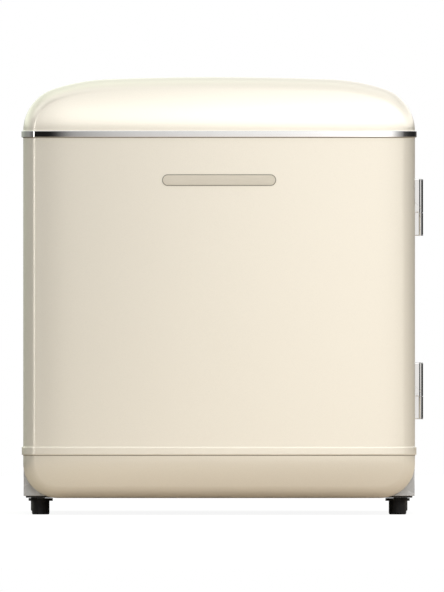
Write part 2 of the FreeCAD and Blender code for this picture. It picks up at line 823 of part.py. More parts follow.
# ---------------------------------------------------------------- door
def rolled_arc(front, level, radius, sign):
    """An arc leaving the front plane at z = level and leaning back, up (1) or down (-1)."""
    points = []
    for turn in (0.0, ROLL_SWEEP / 2, ROLL_SWEEP):
        angle = math.radians(turn)
        back = radius * (1 - math.cos(angle))
        points.append(Vector(0, front + back, level + sign * radius * math.sin(angle)))
    return Part.Arc(*points).toShape(), points[-1]


def door_profile(inset):
    """Side view of the door's front: the dome leans back above the strip, the sole rolls under."""
    front, rear = float(door_front) + inset, float(door_rear)
    high, low = float(spring), float(d.band_low)
    lean, lean_end = rolled_arc(front, high, float(d.lean_radius) - inset, 1)
    sole, sole_end = rolled_arc(front, low, float(d.sole_radius) - inset, -1)
    top_corner = Vector(0, rear + OVERCUT, lean_end.z)
    low_corner = Vector(0, rear + OVERCUT, sole_end.z)
    edges = [
        lean,
        sole,
        line(Vector(0, front, low), Vector(0, front, high)),
        line(lean_end, top_corner),
        line(top_corner, low_corner),
        line(low_corner, sole_end),
    ]
    return Part.Wire(Part.__sortEdges__(edges))


def door_solid(label, inset, rear):
    """The door's outer form, inset by inset, back to y = rear."""
    inset, rear = float(inset), float(rear)
    y0 = float(door_front) - CLEAR
    low, corner = float(d.door_bottom) + inset, float(d.door_corner) - inset
    outline = domed_wire(inset, low, float(crown), corner)
    outline.translate(Vector(0, y0, 0))
    prism = Part.Face(outline).extrude(Vector(0, rear - y0, 0))
    profile = door_profile(inset)
    wide = float(half) + CLEAR
    profile.translate(Vector(-wide, 0, 0))
    pillow = Part.Face(profile).extrude(Vector(2 * wide, 0, 0))
    solid = prism.common(pillow)
    outline_at_zero = domed_wire(inset, low, float(crown), corner)
    rim = []
    for edge in solid.Edges:
        middle = edge.valueAt((edge.FirstParameter + edge.LastParameter) / 2)
        on_rim = outline_at_zero.distToShape(Part.Vertex(middle.x, 0, middle.z))[0] < RIM_TOLERANCE
        if on_rim and middle.y < rear - EDGE_REACH and not runs_along(edge, 1):
            rim.append(edge)
    rounded = solid.makeFillet(float(d.door_edge_round) - inset, rim)
    return shaped(label, rounded)


def strip_ring(label, proud, low, tall):
    """A band round the door's front and sides, standing proud of the skin."""
    outside = band_form(label + "_outside", proud, (low, low + tall))
    inside = band_form(label + "_inside", NOTHING, (low - OVERCUT, low + tall + OVERCUT))
    return cut(label, outside, inside)


def band_form(label, proud, z):
    """The door's plan section, grown by proud, between the pair z."""
    deep = slab(
        label + "_plan",
        "xy",
        (-(half + proud), half + proud),
        (door_front - proud, -door_front),
        z,
        d.door_edge_round + proud,
    )
    x_behind = (-(half + WELL_CLEAR), half + WELL_CLEAR)
    z_behind = (z[0] - OVERCUT, z[1] + OVERCUT)
    behind = block(label + "_behind", x_behind, (door_rear, WELL_CLEAR - door_front), z_behind)
    return cut(label, deep, behind)


def door_skin():
    outside = door_solid("skin_outside", 0, door_rear)
    inside = door_solid("skin_inside", d.door_sheet, door_rear)
    shell = cut("skin_shell", outside, inside)
    holes = hinge_screw_holes("skin_holes", side="door")
    finish("door_skin", cut("door_skin", shell, pull_pocket("skin_pull"), *holes))


def pull_places():
    """The y and z pairs of the recessed grip in the door's left side."""
    y_high = door_rear - d.pull_back
    z_low = d.pull_height - d.pull_tall / 2
    return (y_high - d.pull_wide, y_high), (z_low, z_low + d.pull_tall)


def pull_pocket(label):
    """The space that the grip takes from the door's skin and foam."""
    y, z = pull_places()
    return block(label, (-(half + CLEAR), -(half - d.pull_deep)), y, z)


def finger_pull():
    """A cup pressed into the door's left side, which the fingers pull on."""
    y, z = pull_places()
    wall = d.liner_sheet
    outside = slab("pull_outside", "yz", y, z, (-half, -half + d.pull_deep), NEAR_SQUARE)
    inside = slab(
        "pull_inside",
        "yz",
        (y[0] + wall, y[1] - wall),
        (z[0] + wall, z[1] - wall),
        (-half - wall, -half + d.pull_deep - wall),
        d.small_round,
    )
    finish("finger_pull", cut("finger_pull", outside, inside))


def liner_form(label, inset, rear):
    """The raised panel and ribs of the door liner, inset by inset, from y = rear."""
    top = d.bulge_high - inset
    panel_face = door_rear + d.bulge_deep - inset
    panel = slab(
        label + "_panel",
        "xz",
        (-(d.bulge_half - inset), d.bulge_half - inset),
        (d.bulge_low + inset, top),
        (rear, panel_face),
        d.corner_round - inset,
    )
    ribs = []
    for sign in (-1, 1):
        outer, inner = d.bulge_half - inset, d.bulge_half - d.rib_wide + inset
        x = (-outer, -inner) if sign < 0 else (inner, outer)
        z = (d.bulge_low + d.corner_round + inset, d.rib_high - inset)
        ribs.append(block(label + "_rib", x, (rear, door_rear + d.bulge_deep + d.rib_deep - inset), z))
    return fuse(label, panel, *ribs)


def boss_places():
    """(x pair, z low) of the bosses that carry the door racks, on the ribs' inner faces."""
    inner = d.bulge_half - d.rib_wide
    levels = (d.bottle_rack_low + d.bottle_boss_up, d.small_rack_low + d.small_boss_up)
    pairs = ((-inner, -(inner - d.boss_out)), (inner - d.boss_out, inner))
    return [(pair, level) for level in levels for pair in pairs]


def boss_y():
    middle = door_rear + d.bulge_deep + d.rib_deep - d.boss_size
    return (middle - d.boss_size / 2, middle + d.boss_size / 2)


def door_liner():
    plate_y = (door_rear - d.liner_sheet, door_rear)
    inset = d.door_sheet + LINER_SLACK
    plate = domed_prism("liner_plate", inset, d.door_bottom + inset, plate_y, crown, d.door_corner - inset)
    raised = liner_form("liner_raised", NOTHING, door_rear - d.liner_sheet)
    hollow = liner_form("liner_hollow", d.liner_sheet, door_rear - d.liner_sheet - OVERCUT)
    bosses = [
        block("rack_boss", x, boss_y(), (z, z + d.boss_size)) for x, z in boss_places()
    ]
    pressed = cut("liner_pressed", fuse("liner_form", plate, raised), hollow)
    finish("door_liner", fuse("door_liner", pressed, *bosses))


def door_foam():
    filling = door_solid("foam_filling", d.door_sheet, door_rear - d.liner_sheet)
    raised = liner_form("foam_raised", d.liner_sheet, door_rear - d.liner_sheet - CLEAR)
    holes = hinge_screw_holes("door_foam_holes", side="door")
    form = fuse("foam_form", filling, raised)
    finish("door_foam", cut("door_foam", form, pull_pocket("foam_pull"), *holes))


def door_gasket():
    out, inner = half - d.gasket_inset, half - d.gasket_inset - d.gasket_wide
    low, high = pan_top - d.gasket_lap, cavity_high + d.liner_flange + d.gasket_lap
    y = (door_rear, -d.gasket_gap)
    hole_z = (low + d.gasket_wide, high - d.gasket_wide)
    hole_y = (door_rear - OVERCUT, Size("1", 1))
    ring = slab("gasket_ring", "xz", (-out, out), (low, high), y, d.gasket_round)
    hole = slab("gasket_hole", "xz", (-inner, inner), hole_z, hole_y, d.gasket_round - d.small_round)
    finish("door_gasket", cut("door_gasket", ring, hole))


def badge():
    """A blank plate where a maker's name would go."""
    low = d.badge_height - d.badge_tall / 2
    wide = d.badge_wide / 2
    plate = slab(
        "badge_plate",
        "xz",
        (-wide, wide),
        (low, low + d.badge_tall),
        (door_front - d.badge_thick, door_front),
        d.badge_tall / 2 - 0.1,
    )
    finish("badge_plate", group("badge_plate", plate))


def rack(name, low, tall):
    """An open tray that drops over two bosses of the door liner."""
    wide, wall, ear = d.rack_half, d.rack_wall, d.ear_wall
    face = door_rear + d.bulge_deep + d.rack_slack
    y_out = (face, face + d.rack_deep)
    outside = slab("rack_outside", "xy", (-wide, wide), y_out, (low, low + tall), d.small_round)
    inside = slab(
        "rack_inside",
        "xy",
        (-wide + wall, wide - wall),
        (face + wall, face + d.rack_deep - wall),
        (low + wall, low + tall + OVERCUT),
        d.small_round - wall,
    )
    y = boss_y()
    reach = d.bulge_half - d.rib_wide - d.rack_slack
    skin = wall / 4
    ears = []
    slots = []
    for sign in (-1, 1):
        x = (-reach, -wide + wall) if sign < 0 else (wide - wall, reach)
        x_slot = (-reach - OVERCUT, -wide + skin) if sign < 0 else (wide - skin, reach + OVERCUT)
        boss = [z for _, z in boss_places() if float(low) < float(z) < float(low + tall)][0]
        z_ear = (boss - ear, boss + d.boss_size + ear)
        z_slot = (boss - 2 * ear, boss + d.boss_size + d.boss_slack)
        ears.append(block("rack_ear", x, (y[0] - ear, y[1] + ear), z_ear))
        slots.append(block("rack_slot", x_slot, (y[0] - d.boss_slack, y[1] + d.boss_slack), z_slot))
    body = cut("rack_tray", outside, inside)
    finish(name, cut(name, fuse("rack_form", body, *ears), *slots))


def rack_rail(name, low):
    """The bright wire that keeps bottles in a rack."""
    radius, bend, rise, foot, lead = 1.6, 14.0, 22.0, 6.0, 4.0
    wall, touch = float(d.rack_wall), 0.02
    face = float(door_rear + d.bulge_deep + d.rack_slack)
    front = face + float(d.rack_deep) - lead
    back, wide, z = front - bend - lead, float(d.rack_half) - wall - radius - touch, float(low)
    points = [
        Vector(-wide, back, z - foot),
        Vector(-wide, back, z + rise),
        Vector(-wide, front, z + rise),
        Vector(wide, front, z + rise),
        Vector(wide, back, z + rise),
        Vector(wide, back, z - foot),
    ]
    finish(name, shaped(name, bent_tube(points, radius, [6.0, 9.0, 9.0, 6.0])))


def bent_tube(points, radius, bends):
    """A round tube along straight runs joined by tangent arcs of the given bend radii."""
    edges = []
    start = points[0]
    for previous, corner, following, bend in zip(points, points[1:], points[2:], bends):
        back, forth = (previous - corner).normalize(), (following - corner).normalize()
        angle = back.getAngle(forth)
        trim = bend / math.tan(angle / 2)
        arc_start, arc_end = corner + back * trim, corner + forth * trim
        middle = (back + forth).normalize()
        apex = corner + middle * (bend / math.sin(angle / 2) - bend)
        edges.append(Part.LineSegment(start, arc_start).toShape())
        edges.append(Part.Arc(arc_start, apex, arc_end).toShape())
        start = arc_end
    edges.append(Part.LineSegment(start, points[-1]).toShape())
    path = Part.Wire(edges)
    direction = (points[1] - points[0]).normalize()
    section = Part.Wire([Part.makeCircle(radius, points[0], direction)])
    return path.makePipeShell([section], True, True)


# ---------------------------------------------------------------- ice box
FLAP_Y = d.ice_front - 8.0
FLAP_Z = d.ice_high - 5.0
COLLAR_FRONT = d.ice_front - 5.0


def ice_box_places():
    """The x and z pairs of the ice box's outside."""
    return (d.ice_left, d.ice_right), (d.ice_high - d.ice_tall, d.ice_high)


def ice_box():
    x, z = ice_box_places()
    y = (d.ice_front, d.ice_front + d.ice_deep)
    wall = d.ice_sheet
    x_in, z_in = (x[0] + wall, x[1] - wall), (z[0] + wall, z[1] - wall)
    outside = slab("ice_outside", "xz", x, z, y, d.small_round)
    inside = slab("ice_inside", "xz", x_in, z_in, (y[0] - OVERCUT, y[1] - wall), d.small_round - wall)
    finish("ice_box", cut("ice_box", outside, inside))


def ice_box_hangers():
    edge, radius = 30, 5
    posts = []
    for x in (d.ice_left + edge, d.ice_right - edge):
        for y in (d.ice_front + edge, d.ice_front + d.ice_deep - edge):
            posts.append(rod("hanger", "z", (x, y, d.ice_high), cavity_high - d.ice_high, radius))
    finish("ice_box_hangers", group("ice_box_hangers", *posts))


def freezer_collar():
    """A moulded frame round the ice box's mouth, with two ears that carry the flap."""
    lip, rim, reach = d.collar_lip, 4, d.ice_front + d.collar_reach
    x, z = ice_box_places()
    ring_x, ring_z = (x[0] - lip, x[1] + lip), (z[0] - lip, z[1] + lip)
    mouth_x, mouth_z = (x[0] + rim, x[1] - rim), (z[0] + rim, z[1] - rim)
    behind = reach + 2 * rim
    ring = slab("collar_ring", "xz", ring_x, ring_z, (COLLAR_FRONT, reach), d.small_round + 2)
    seat = slab("collar_seat", "xz", x, z, (d.ice_front, behind), d.small_round)
    mouth_y = (COLLAR_FRONT - OVERCUT, behind)
    mouth = slab("collar_mouth", "xz", mouth_x, mouth_z, mouth_y, d.small_round - 2)
    ear_z, ear_half, hole = (FLAP_Z - 5, FLAP_Z + 5), 4, d.flap_pin + 0.06
    lap = d.flap_pin * 0.75
    ears, holes = [], []
    for ear_x in ((ring_x[0] - ear_half, ring_x[0] + lap), (ring_x[1] - lap, ring_x[1] + ear_half)):
        ears.append(block("collar_ear", ear_x, (FLAP_Y - ear_half, COLLAR_FRONT + lip + OVERCUT), ear_z))
        holes.append(rod("collar_ear_hole", "x", (ear_x[0] - OVERCUT, FLAP_Y, FLAP_Z), 8, hole))
    body = cut("collar_body", ring, seat, mouth)
    finish("freezer_collar", cut("freezer_collar", fuse("collar", body, *ears), *holes))


def freezer_flap():
    """A frosted flap on two pins, with a shallow panel and a grip along its foot."""
    lip, side_gap, recess, pin_long = d.collar_lip, 2, 1.4, 6
    x = (d.ice_left - lip + side_gap, d.ice_right + lip - side_gap)
    z = (d.ice_high - d.ice_tall - side_gap, FLAP_Z + 1.5)
    y = (FLAP_Y - d.flap_thick / 2, FLAP_Y + d.flap_thick / 2)
    plate = slab("flap_plate", "xz", x, z, y, Size("1.4", 1.4))
    middle = (d.ice_left + d.ice_right) / 2
    x_panel, z_panel = (x[0] + 14, x[1] - 14), (z[0] + 24, z[1] - 12)
    panel = slab("flap_recess", "xz", x_panel, z_panel, (y[0] - OVERCUT, y[0] + recess), d.small_round)
    x_grip, z_grip = (middle - 36, middle + 36), (z[0] + 8, z[0] + 15)
    grip = slab("flap_grip", "xz", x_grip, z_grip, (y[0] - 7, y[0] + OVERCUT), Size("2", 2))
    pins = [
        rod("flap_pin", "x", (start, FLAP_Y, FLAP_Z), pin_long, d.flap_pin)
        for start in (x[0] - pin_long + 0.8, x[1] - 0.8)
    ]
    finish("freezer_flap", fuse("freezer_flap", cut("flap_body", plate, panel), grip, *pins))


def tray_places():
    """The levels of the ice box's floor and of the tray's runners."""
    floor = d.ice_high - d.ice_tall
    runner = floor - d.tray_drop
    return floor, runner


def tray_runners():
    floor, runner = tray_places()
    y = (d.ice_front + 14, d.ice_front + d.ice_deep - 10)
    rails = []
    for sign in (-1, 1):
        edge = d.ice_left if sign < 0 else d.ice_right
        web = (edge, edge + 2) if sign < 0 else (edge - 2, edge)
        lip = (edge, edge + 8) if sign < 0 else (edge - 8, edge)
        upright = block("runner_web", web, y, (runner, floor))
        foot = block("runner_lip", lip, y, (runner - 2, runner))
        cap = block("runner_cap", lip, y, (floor - 1.5, floor))
        rails.append(fuse("runner", upright, foot, cap))
    finish("tray_runners", group("tray_runners", *rails))


def drip_tray():
    """A clear tray whose flange slides on the runners, with a grip at its front."""
    _, runner = tray_places()
    wall, side_gap, flange_wide = d.tray_wall, 3, 8
    flange_low = runner + 0.3
    flange_z = (flange_low, flange_low + wall)
    y = (d.ice_front - 4, d.ice_front + d.ice_deep - 12)
    x = (d.ice_left + side_gap, d.ice_right - side_gap)
    tub_x = (x[0] + flange_wide, x[1] - flange_wide)
    low = flange_z[1] - d.tray_tall
    flange = slab("tray_flange", "xy", x, (y[0] + 14, y[1]), flange_z, Size("2", 2))
    tub = slab("tray_tub", "xy", tub_x, y, (low, flange_z[1]), d.small_round + wall)
    room_x, room_y = (tub_x[0] + wall, tub_x[1] - wall), (y[0] + wall, y[1] - wall)
    room = slab("tray_room", "xy", room_x, room_y, (low + wall, flange_z[1] + OVERCUT), d.small_round)
    middle = (d.ice_left + d.ice_right) / 2
    lip = block("tray_grip", (middle - 42, middle + 42), (y[0] - 8, y[0] + 1), (low + 4, low + 7))
    finish("drip_tray", cut("drip_tray", fuse("tray_form", flange, tub, lip), room))


# ---------------------------------------------------------------- shelf and thermostat
def wire_shelf():
    top = step_top + d.run_slack + d.shelf_wire
    reach = cavity_half - 3.5
    y = (d.shelf_front + d.shelf_wire, cavity_back - 8)
    z = float(top)
    w, front, back = float(reach), float(y[0]), float(y[1])
    corner = 12.0
    points = [Vector(0, front, z), Vector(w, front, z), Vector(w, back, z), Vector(-w, back, z)]
    points += [Vector(-w, front, z), Vector(0, front, z)]
    ring = bent_tube(points, float(d.shelf_wire), [corner] * 4)
    finish("shelf_frame", shaped("shelf_frame", ring))
    wires = []
    count = 17
    reach_y = (y[0] + d.shelf_wire + 0.05, y[1] - d.shelf_wire - 0.05)
    for k in range(count):
        x = (reach - 14) * (2 * k / (count - 1) - 1)
        wires.append(rod("shelf_bar", "y", (x, reach_y[0], top), reach_y[1] - reach_y[0], d.shelf_bar))
    for share in (0.25, 0.5):
        y_bar = y[0] + (y[1] - y[0]) * share
        z_bar = top - d.shelf_bar * 2 - 0.05
        start = (-(reach - 10), y_bar, z_bar)
        wires.append(rod("shelf_cross", "x", start, (reach - 10) * 2, d.shelf_bar))
    finish("shelf_wires", group("shelf_wires", *wires))


def thermostat():
    """The control box in the cavity's upper right corner, and its dial with a ribbed grip."""
    wide, deep, tall, dial_thick = 70, 92, 78, 5
    x = (cavity_half - wide, cavity_half)
    y = (d.ice_front + 4, d.ice_front + 4 + deep)
    z = (cavity_high - tall, cavity_high)
    middle, level = (x[0] + x[1]) / 2, z[0] + 40
    shaft_radius, turn_slack = 3, 0.06
    case = slab("thermostat_case", "xz", x, z, y, d.corner_round)
    bore = rod("thermostat_bore", "y", (middle, y[0] - OVERCUT, level), 14, shaft_radius + turn_slack)
    finish("thermostat_housing", cut("thermostat_housing", case, bore))
    face = y[0] - 0.5
    dial = rod("knob_dial", "y", (middle, face - dial_thick, level), dial_thick, d.knob_radius)
    grip_tall = d.knob_deep - dial_thick
    grip = taper("knob_grip", "y", (middle, face - d.knob_deep, level), grip_tall, 11, 13)
    shaft = rod("knob_shaft", "y", (middle, face - OVERCUT, level), 12, shaft_radius)
    pointer_x, pointer_y = (middle - 1.2, middle + 1.2), (face - dial_thick - 1, face - dial_thick + 1)
    pointer = block("knob_pointer", pointer_x, pointer_y, (level + 11, level + 17))
    finish("thermostat_knob", fuse("thermostat_knob", dial, grip, shaft, pointer))


# ---------------------------------------------------------------- condenser
COIL_ROWS = 7


def coil_plane():
    return d.cabinet_depth + d.coil_standoff


def condenser_coil():
    """The serpentine tube, from the filter drier up to its last row."""
    wide, y, low, pitch = (float(v) for v in (d.coil_half, coil_plane(), d.coil_low, d.coil_pitch))
    side, bay_z = -wide - DRIER_OUT, float(bay_top) - 8
    points = [Vector(side, float(pot_y), DRIER_TOP), Vector(side, float(pot_y), bay_z)]
    points += [Vector(side, y, bay_z), Vector(side, y, low)]
    bends = [5.0, 12.0, 12.0]
    for k in range(COIL_ROWS):
        z = low + k * pitch
        ends = (-wide, wide) if k % 2 == 0 else (wide, -wide)
        points += [Vector(ends[0], y, z), Vector(ends[1], y, z)] if k else [Vector(ends[1], y, z)]
        bends += [pitch / 2 - 0.01] * (2 if k else 1)
    bends = bends[: len(points) - 2]
    finish("condenser_coil", shaped("condenser_coil", bent_tube(points, float(d.coil_tube), bends)))


def condenser_wires():
    reach = d.coil_half - 18
    y = coil_plane() + d.coil_tube + d.coil_wire + 0.05
    low = d.coil_low - 10
    tall = d.coil_pitch * (COIL_ROWS - 1) + 20
    count = 23
    wires = []
    for k in range(count):
        x = reach * (2 * k / (count - 1) - 1)
        wires.append(rod("coil_wire", "z", (x, y, low), tall, d.coil_wire))
    finish("condenser_wires", group("condenser_wires", *wires))


def condenser_clips():
    clips = []
    for k in (1, COIL_ROWS - 2):
        z = d.coil_low + d.coil_pitch * k
        for x in (-d.coil_half + 38, d.coil_half - 38):
            body = block("clip", (x - 6, x + 6), (d.cabinet_depth, coil_plane() + 1), (z - 8, z + 8))
            groove = rod("clip_groove", "x", (x - 8, coil_plane(), z), 16, d.coil_tube + 0.05)
            clips.append(cut("condenser_clip", body, groove))
    finish("condenser_clips", group("condenser_clips", *clips))


def wall_spacers():
    pads = []
    z = spring + d.spacer_tall / 4
    y = (d.cabinet_depth, d.cabinet_depth + d.spacer_deep)
    for x in (-d.spacer_spread, d.spacer_spread):
        x_pair = (x - d.spacer_tall / 2, x + d.spacer_tall / 2)
        pads.append(slab("spacer", "xz", x_pair, (z, z + d.spacer_tall), y, d.rail_round))
    finish("wall_spacers", group("wall_spacers", *pads))


# ---------------------------------------------------------------- compressor bay
pot_y = d.cabinet_depth - d.pot_setback
pot_top = d.pot_base + d.pot_tall
PIPE_OUT = 49.0
SUCTION_ENTRY = (float(d.pot_x) - PIPE_OUT, 120.0, 4.0)
CAPILLARY_ENTRY = (-120.0, 120.0, 1.2)
DRAIN_X, DRAIN_Y, DRAIN_RADIUS = -10.0, 300.0, 5.0
DRIER_OUT, DRIER_TOP = 14.0, 156.2
GLAND_X, GLAND_Z, GLAND_BODY = -120.0, 52.0, 8.0


def compressor_pot():
    """A welded steel pot: revolved dome, seam flange and base."""
    body = doc.addObject("PartDesign::Body", unique("pot"))
    sketch = body_sketch(body, "xz", "pot_profile")
    r, low, high = float(d.pot_radius), float(d.pot_base), float(pot_top)
    dome = 26.0
    seam = low + 46.0
    points = [
        (0, low), (r - 16, low), (r, low + 16), (r, seam), (r + 4, seam), (r + 4, seam + 4), (r, seam + 4),
        (r, high - dome), (r - 8, high - 9), (r - 24, high), (0, high),
    ]
    vectors = [Vector(x, z, 0) for x, z in points]
    for a, b in zip(vectors, vectors[1:] + vectors[:1]):
        sketch.addGeometry(Part.LineSegment(a, b), False)
    count = len(points)
    for k in range(count):
        sketch.addConstraint(Sketcher.Constraint("Coincident", k, 2, (k + 1) % count, 1))
    width = {0: 0.0, 1: d.pot_radius - 16, 2: d.pot_radius, 3: d.pot_radius, 4: d.pot_radius + 4}
    width.update({5: d.pot_radius + 4, 6: d.pot_radius, 7: d.pot_radius, 8: d.pot_radius - 8})
    width.update({9: d.pot_radius - 24, 10: 0.0})
    rise = {0: d.pot_base, 1: d.pot_base, 2: d.pot_base + 16, 3: d.pot_base + 46, 4: d.pot_base + 46}
    rise.update({5: d.pot_base + 50, 6: d.pot_base + 50, 7: pot_top - dome, 8: pot_top - 9})
    rise.update({9: pot_top, 10: pot_top})
    for k in range(count):
        if float(width[k]) == 0.0:
            sketch.addConstraint(Sketcher.Constraint("PointOnObject", k, 1, -2))
        else:
            fix(sketch, "DistanceX", k, 1, width[k])
        fix(sketch, "DistanceY", k, 1, rise[k])
    turned = body.newObject("PartDesign::Revolution", unique("pot_turned"))
    turned.Profile = sketch
    turned.ReferenceAxis = (sketch, ["V_Axis"])
    turned.Angle = 360
    bind(body, Placement_Base_x=d.pot_x, Placement_Base_y=pot_y)
    finish("compressor_pot", group("compressor_pot", body))


def mount_places():
    return [(d.pot_x + sx * d.mount_x, pot_y + sy * d.mount_y) for sx in (-1, 1) for sy in (-1, 1)]


def compressor_mounts():
    """The mounting plate, and the rubber grommets and bolts that hold it to the base pan."""
    low, top = d.pot_base - d.mount_plate, d.pot_base
    reach_x, reach_y = d.mount_x + d.mount_rim_x, d.mount_y + d.mount_rim_y
    x, y = (d.pot_x - reach_x, d.pot_x + reach_x), (pot_y - reach_y, pot_y + reach_y)
    plate = slab("mount_plate", "xy", x, y, (low, top), d.small_round + 2)
    neck_radius, foot_radius, head_radius, head_tall = 6, 9, 8, 3
    holes = [rod("mount_hole", "z", (x, y, low - 1), 5, neck_radius + 0.1) for x, y in mount_places()]
    finish("compressor_feet", cut("compressor_feet", plate, *holes))
    grommets, bolts = [], []
    for x, y in mount_places():
        foot = rod("grommet_foot", "z", (x, y, pan_floor), low - pan_floor, foot_radius)
        neck = rod("grommet_neck", "z", (x, y, low), d.mount_plate, neck_radius)
        head = rod("grommet_head", "z", (x, y, top), head_tall, head_radius)
        bore = rod("grommet_bore", "z", (x, y, pan_floor - OVERCUT), 30, d.bolt_radius + 0.1)
        grommets.append(cut("grommet", fuse("grommet_body", foot, neck, head), bore))
        shank = rod("bolt_shank", "z", (x, y, pan_floor), top + head_tall - pan_floor, d.bolt_radius)
        hexagon = rod("bolt_head", "z", (x, y, top + head_tall), 4, d.bolt_radius + 2.5)
        bolts.append(fuse("bolt", shank, hexagon))
    finish("compressor_grommets", group("compressor_grommets", *grommets))
    finish("compressor_bolts", group("compressor_bolts", *bolts))


def relay_cover():
    """The starting relay's cover, hollowed to the pot's round side."""
    x_face, out, into, half_wide = d.pot_x - d.pot_radius, 24, 12, 24
    z = (d.pot_base + 52, d.pot_base + 96)
    y = (pot_y - half_wide, pot_y + half_wide)
    cover = slab("relay_case", "yz", y, z, (x_face - out, x_face + into), d.small_round - 2)
    pot = rod("relay_pot", "z", (d.pot_x, pot_y, 0), 2 * d.pot_tall, d.pot_radius + 0.3)
    finish("relay_cover", cut("relay_cover", cover, pot))


def refrigerant_pipes():
    px, py, base = float(d.pot_x), float(pot_y), float(d.pot_base)
    bay, wide = float(bay_front), float(d.coil_half)
    sx, sz, sr = SUCTION_ENTRY
    near = (float(d.pot_radius) + 0.2) * math.sqrt(0.5)
    suction = [
        Vector(px - near, py - near, base + 40),
        Vector(sx, py - PIPE_OUT, base + 40),
        Vector(sx, py - PIPE_OUT, sz),
        Vector(sx, bay - 2, sz),
    ]
    finish("suction_pipe", shaped("suction_pipe", bent_tube(suction, sr, [7.0, 10.0])))
    coil_y, top = float(coil_plane()), float(d.coil_low) + float(d.coil_pitch) * (COIL_ROWS - 1)
    discharge = [
        Vector(px + 48.5, py + 22, base + 30),
        Vector(wide + 18, py + 22, base + 30),
        Vector(wide + 18, coil_y, base + 30),
        Vector(wide + 18, coil_y, top),
        Vector(wide + 0.2, coil_y, top),
    ]
    finish("discharge_pipe", shaped("discharge_pipe", bent_tube(discharge, 2.5, [10.0, 12.0, 12.0])))
    drier_x = -(wide + DRIER_OUT)
    drier = rod("drier_body", "z", (drier_x, pot_y, 60), 84, 8)
    neck_low = taper("drier_neck", "z", (drier_x, pot_y, 48), 12, 2.6, 8)
    neck_top = taper("drier_neck", "z", (drier_x, pot_y, 144), DRIER_TOP - 144.2, 8, 2.6)
    finish("filter_drier", fuse("filter_drier", drier, neck_low, neck_top))
    cx, cz, cr = CAPILLARY_ENTRY
    capillary = [
        Vector(drier_x, py, 47.9),
        Vector(drier_x, py, 32),
        Vector(cx, py, 32),
        Vector(cx, py, cz),
        Vector(cx, bay - 2, cz),
    ]
    finish("capillary_tube", shaped("capillary_tube", bent_tube(capillary, cr, [6.0, 8.0, 8.0])))


def evaporating_pan():
    """The tray over the pot, where its warmth dries off the defrost water."""
    low, wall, tall = pot_top + 0.3, 1.8, 18
    x, y = (d.pot_x - 46, d.pot_x + 46), (pot_y - 44, pot_y + 34)
    x_in, y_in = (x[0] + wall, x[1] - wall), (y[0] + wall, y[1] - wall)
    tub = slab("pan_tub", "xy", x, y, (low, low + tall), d.small_round + 2)
    room = slab("pan_room", "xy", x_in, y_in, (low + wall, low + tall + OVERCUT), d.small_round)
    finish("evaporating_pan", cut("evaporating_pan", tub, room))


def drain_tube():
    """Carries the defrost water from the liner's floor to the evaporating pan."""
    run, end_x = float(pot_top) + 24, float(d.pot_x) - 30
    points = [
        Vector(DRAIN_X, DRAIN_Y, float(step_top) - 0.5),
        Vector(DRAIN_X, DRAIN_Y, run),
        Vector(end_x, DRAIN_Y, run),
        Vector(end_x, DRAIN_Y, run - 11),
    ]
    finish("drain_tube", shaped("drain_tube", bent_tube(points, DRAIN_RADIUS - 0.2, [7.0, 7.0])))


def cord_gland():
    """The bush where a power cord would enter."""
    back, inward, collar_thick, nose_long = d.cabinet_depth, 9, 3, 7
    nose_radius, cord_radius = 5.5, 3.6
    body = rod("gland_body", "y", (GLAND_X, back - inward, GLAND_Z), inward, GLAND_BODY - 0.1)
    collar_radius = GLAND_BODY + collar_thick
    collar = rod("gland_collar", "y", (GLAND_X, back, GLAND_Z), collar_thick, collar_radius)
    nose_at = (GLAND_X, back + collar_thick, GLAND_Z)
    nose = taper("gland_nose", "y", nose_at, nose_long, GLAND_BODY, nose_radius)
    hole = rod("gland_hole", "y", (GLAND_X, back - WELL_CLEAR, GLAND_Z), 2 * WELL_CLEAR, cord_radius)
    finish("cord_gland", cut("cord_gland", fuse("gland", body, collar, nose), hole))


# ---------------------------------------------------------------- assembly
def build():
    outer_shell()
    front_frame()
    base_pan()
    foot_rail()
    inner_liner()
    insulation_foam()
    bay_panel()
    back_panel()
    back_screws()
    for side, x in (("left", -d.foot_spread), ("right", d.foot_spread)):
        levelling_foot(side, x)
    rear_feet()
    for name, low in hinge_levels():
        hinge(name, low)
    hinge_screws("door")
    hinge_screws("cabinet")
    door_skin()
    door_foam()
    door_liner()
    door_gasket()
    finger_pull()
    finish("top_strip", strip_ring("top_strip", d.strip_proud, d.strip_low, d.strip_tall))
    finish("lower_band", strip_ring("lower_band", d.band_proud, d.band_low, d.band_tall))
    badge()
    rack("bottle_rack", d.bottle_rack_low, d.bottle_rack_tall)
    rack("small_rack", d.small_rack_low, d.small_rack_tall)
    rack_rail("bottle_rack_rail", d.bottle_rack_low + d.bottle_rack_tall)
    ice_box()
    ice_box_hangers()
    freezer_collar()
    freezer_flap()
    tray_runners()
    drip_tray()
    wire_shelf()
    thermostat()
    condenser_coil()
    condenser_wires()
    condenser_clips()
    wall_spacers()
    compressor_pot()
    compressor_mounts()
    relay_cover()
    refrigerant_pipes()
    evaporating_pan()
    drain_tube()
    cord_gland()


def check_and_export():
    doc.recompute()
    for item in doc.Objects:
        if "Invalid" in item.State or "Error" in item.State:
            raise RuntimeError(f"{item.Label} failed: {item.State}")
    for item in subparts:
        shape = item.Shape
        if shape.isNull() or not shape.isValid() or not shape.Solids:
            raise RuntimeError(f"{item.Label} has no valid solid")
    os.makedirs("parts", exist_ok=True)
    for item in subparts:
        item.Shape.exportStep(os.path.join("parts", item.Label + ".step"))
    print(f"{len(subparts)} sub-parts written")


build()
check_and_export()
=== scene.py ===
"""Retro cream cube fridge: looks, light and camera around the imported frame."""

import math

